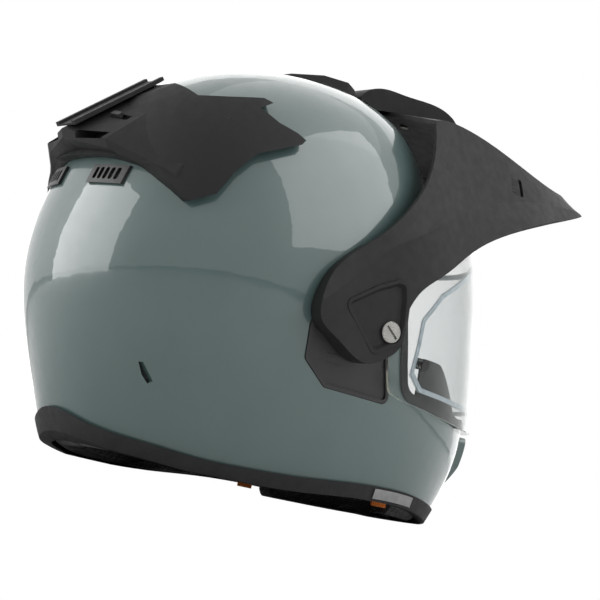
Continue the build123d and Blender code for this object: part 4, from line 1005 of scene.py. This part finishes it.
@dataclass
class ChinStrap:
    """Chin strap of woven webbing with double rings, and the pads' pull tabs."""

    width: float = 24.0 * MM
    thick: float = 2.2 * MM
    middle: float = 33.6
    high: float = 32.48
    low: float = 22.68
    wall: float = 100.8
    turn: float = 70.0
    level: float = 58.0
    loop_end: float = 46.0
    loop_middle: float = -41.0
    loop_size: tuple[float, float] = (10.0, 6.2)
    free_end: tuple[float, float] = (0.0, 18.48)
    tab_out: float = 85.7
    tab_middle: float = -43.26
    tab_span: tuple[float, float] = (3.9, 34.9)
    tab_width: float = 12.0 * MM
    tab_thick: float = 1.5 * MM
    box_span: tuple[float, float] = (76.0, 98.0)
    box_margin: float = 3.0 * MM
    hem_rows: tuple[float, ...] = (7.0, 9.5)
    hem_half: float = 4.4 * MM
    stitching: Stitching = field(default_factory=Stitching)

    def at(self, x: float, z: float) -> Vector:
        """Return a point of the strap's middle line, given in millimetres."""
        return Vector((x, self.middle, z)) * MM

    def strap(self, side: Side, end: Vector) -> Band:
        """Return the band from a side's anchor down to its end.

        Args:
            side: the side whose anchor it starts at.
            end: its last point.

        Returns:
            The band.
        """
        bends = ((self.wall, self.high), (self.turn, self.high), (self.level, self.low))
        path = [self.at(side.value * x, z) for x, z in bends]
        return Band(path + [end], Vector((0, 1, 0)), self.width, self.thick)

    def ring_side(self) -> bpy.types.Object:
        """Build the side that holds the rings: a band and the loop round the ring bars."""
        band = self.strap(Side.RIGHT, self.at(-self.loop_end, self.low))
        wide, tall = self.loop_size[0] / 2, self.loop_size[1] / 2
        corners = [(-wide, -tall), (wide, -tall), (wide, tall), (-wide, tall)]
        loop = Band([self.at(self.loop_middle + x, self.low + z) for x, z in corners], Vector((0, 1, 0)),
                    self.width, self.thick, bend=1.4 * MM, arc_steps=4, closed=True)
        piece = thick_band("strap_with_loop", [band, loop], STRAP, HELMET)
        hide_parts("chin_strap_right")
        return piece

    def free_side(self) -> bpy.types.Object:
        """Build the side whose end goes through the rings."""
        band = self.strap(Side.LEFT, self.at(*self.free_end))
        piece = thick_band("strap_free_side", [band], STRAP, HELMET)
        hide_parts("chin_strap_left")
        return piece

    def pull_tabs(self) -> bpy.types.Object:
        """Build the two pull tabs under the cheek pads."""
        bands = [Band([Vector((side.value * self.tab_out, self.tab_middle, z)) * MM for z in self.tab_span],
                      Vector((0, 1, 0)), self.tab_width, self.tab_thick) for side in Side]
        piece = thick_band("pull_tabs", bands, PULL_TAB, HELMET)
        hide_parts("emergency_tabs")
        return piece

    def threads(self) -> bpy.types.Object:
        """Sew the box stitch of each strap and the hem of each tab."""
        bm = bmesh.new()
        half = self.width / 2 - self.box_margin
        down, across = Vector((0, 0, -1)), Vector((0, 1, 0))
        low, high = self.box_span
        for x0, x1 in ((-high, -low), (low, high)):
            near, far = (self.at(x, self.high) + down * self.thick / 2 for x in (x0, x1))
            corners = [near - across * half, far - across * half, far + across * half, near + across * half]
            for first, last in ((0, 1), (1, 2), (2, 3), (3, 0), (0, 2), (1, 3)):
                self.stitching.sew(bm, corners[first], corners[last], down)
        for side in Side:
            out = Vector((side.value, 0, 0))
            for z in self.hem_rows:
                centre = Vector((side.value * self.tab_out, self.tab_middle, z)) * MM
                centre += out * self.tab_thick / 2
                self.stitching.sew(bm, centre - across * self.hem_half, centre + across * self.hem_half, out)
        return settle("sewn_threads", bm, THREAD, HELMET)

    def build(self) -> None:
        """Build the straps and dress their metal."""
        self.ring_side()
        self.free_side()
        self.pull_tabs()
        self.threads()
        dress("d_ring_a", RING_STEEL)
        dress("d_ring_b", RING_STEEL)
        dress("strap_anchors", RING_STEEL)
        dress("strap_snap", SATIN)


@dataclass
class SoftBox:
    """A large square lamp that faces the helmet."""

    name: str
    place: Vector
    size: float
    radiance: float

    def hang(self) -> None:
        """Hang the lamp."""
        data = bpy.data.lights.new(self.name, "AREA")
        data.shape, data.size = "SQUARE", self.size
        data.energy = self.radiance * math.pi * self.size * self.size
        lamp = bpy.data.objects.new(self.name, data)
        lamp.location = self.place
        lamp.rotation_euler = (self.place - DOME_CENTRE).to_track_quat("Z", "Y").to_euler()
        bpy.context.scene.collection.objects.link(lamp)


@dataclass
class Studio:
    """Photographer's corner: pale floor, white surround, soft boxes and the camera."""

    away: Vector = field(default_factory=lambda: Vector((-0.857, 0.502, -0.116)).normalized())
    distance: float = 1.7
    tilt: float = math.radians(13.0)
    lens: float = 148.9
    shift: tuple[float, float] = (0.125, -0.055)
    floor_size: float = 12.0
    floor_drop: float = 0.5 * MM
    floor_white: float = 0.9
    near_glow: float = 0.5
    glow_span: tuple[float, float] = (0.3, 0.75)
    room_light: float = 0.38
    box_distance: float = 2.1

    def axes(self) -> tuple[Vector, Vector, Vector]:
        """Return the view's right, up and forward directions."""
        forward = -self.away
        upright = Vector((0, math.sin(self.tilt), math.cos(self.tilt)))
        right = forward.cross(upright).normalized()
        return right, right.cross(forward), forward

    def camera(self) -> None:
        """Set the camera."""
        right, up, forward = self.axes()
        data = bpy.data.cameras.new("camera")
        data.lens, data.sensor_width = self.lens, 36.0
        data.shift_x, data.shift_y = self.shift
        data.clip_start, data.clip_end = 0.05, 50.0
        camera = bpy.data.objects.new("camera", data)
        turn = Matrix((right, up, -forward)).transposed().to_4x4()
        camera.matrix_world = Matrix.Translation(DOME_CENTRE + self.away * self.distance) @ turn
        bpy.context.scene.collection.objects.link(camera)
        bpy.context.scene.camera = camera

    def floor(self) -> None:
        """Lay the floor, white from above and clear from below."""
        bm = bmesh.new()
        bmesh.ops.create_grid(bm, x_segments=4, y_segments=4, size=self.floor_size / 2,
                              matrix=Matrix.Translation((0, 0, -self.floor_drop)))
        mesh = bpy.data.meshes.new("studio_floor")
        bm.to_mesh(mesh)
        bm.free()
        floor = bpy.data.objects.new("studio_floor", mesh)
        bpy.context.scene.collection.objects.link(floor)
        s = Shader("studio_floor_paper")
        white = s.span(s.noise(30.0), self.floor_white - 0.01, self.floor_white + 0.01)
        paper = s.add("BsdfDiffuse", {"Color": white})
        glow = s.add("Emission", {"Color": (1.0, 1.0, 1.0, 1.0), "Strength": 1.0})
        rays = s.add("LightPath")
        reach = s.add("VectorMath", {0: s.place.outputs["Object"]}, operation="LENGTH").outputs["Value"]
        share = s.span(reach, self.near_glow, 1.0, *self.glow_span)
        seen = s.add("Math", {0: rays.outputs["Is Camera Ray"], 1: share}, operation="MULTIPLY").outputs[0]
        top = s.add("MixShader", {0: seen, 1: paper.outputs[0], 2: glow.outputs[0]})
        clear = s.add("BsdfTransparent", {"Color": (1.0, 1.0, 1.0, 1.0)})
        below = s.add("NewGeometry").outputs["Backfacing"]
        paper_or_clear = s.add("MixShader", {0: below, 1: top.outputs[0], 2: clear.outputs[0]})
        mesh.materials.append(s.surface(paper_or_clear))

    def surround(self) -> None:
        """Paint the room: white to the eye and in reflections, even and soft as light."""
        world = bpy.data.worlds.new("studio_room")
        bpy.context.scene.world = world
        world.use_nodes = True
        tree = world.node_tree
        tree.nodes.clear()
        output = tree.nodes.new("ShaderNodeOutputWorld")
        soft, white, mix = (tree.nodes.new("ShaderNodeBackground"), tree.nodes.new("ShaderNodeBackground"),
                            tree.nodes.new("ShaderNodeMixShader"))
        soft.inputs["Color"].default_value = white.inputs["Color"].default_value = (1.0, 1.0, 1.0, 1.0)
        soft.inputs["Strength"].default_value = self.room_light
        rays = tree.nodes.new("ShaderNodeLightPath")
        eye = tree.nodes.new("ShaderNodeMath")
        seen = tree.nodes.new("ShaderNodeMath")
        eye.operation = seen.operation = "MAXIMUM"
        tree.links.new(rays.outputs["Is Camera Ray"], eye.inputs[0])
        tree.links.new(rays.outputs["Is Transmission Ray"], eye.inputs[1])
        tree.links.new(eye.outputs[0], seen.inputs[0])
        tree.links.new(rays.outputs["Is Glossy Ray"], seen.inputs[1])
        tree.links.new(seen.outputs[0], mix.inputs[0])
        tree.links.new(soft.outputs[0], mix.inputs[1])
        tree.links.new(white.outputs[0], mix.inputs[2])
        tree.links.new(mix.outputs[0], output.inputs["Surface"])

    def lamps(self) -> None:
        """Hang the soft boxes round the helmet."""
        right, up, forward = self.axes()

        def toward(side: float, rise: float) -> Vector:
            """Return a place at an angle to the side of the camera and above it."""
            a, b = math.radians(side), math.radians(rise)
            flat = self.away * math.cos(a) + right * math.sin(a)
            return DOME_CENTRE + (flat * math.cos(b) + up * math.sin(b)) * self.box_distance

        SoftBox("box_by_the_peak", toward(76.0, 30.0), 2.0, 2.3).hang()
        SoftBox("box_behind", toward(-88.0, 18.0), 2.0, 3.5).hang()
        SoftBox("box_overhead", DOME_CENTRE + Vector((0.2, -0.5, 2.2)), 2.2, 0.5).hang()
        SoftBox("box_far_side", toward(165.0, 8.0), 2.4, 0.8).hang()

    def build(self) -> None:
        """Build the studio."""
        self.camera()
        self.floor()
        self.surround()
        self.lamps()
        bpy.context.scene.view_settings.view_transform = "Standard"


def main() -> None:
    """Build every sub-assembly in order."""
    logging.basicConfig(level=logging.INFO, format="%(name)s: %(message)s")
    Studio().build()
    Shell().dress()
    SidePlates().dress()
    Peak().dress()
    Vents().dress()
    VisorSet().dress()
    Lining().dress()
    ChinStrap().build()


if __name__ == "__main__":
    main()
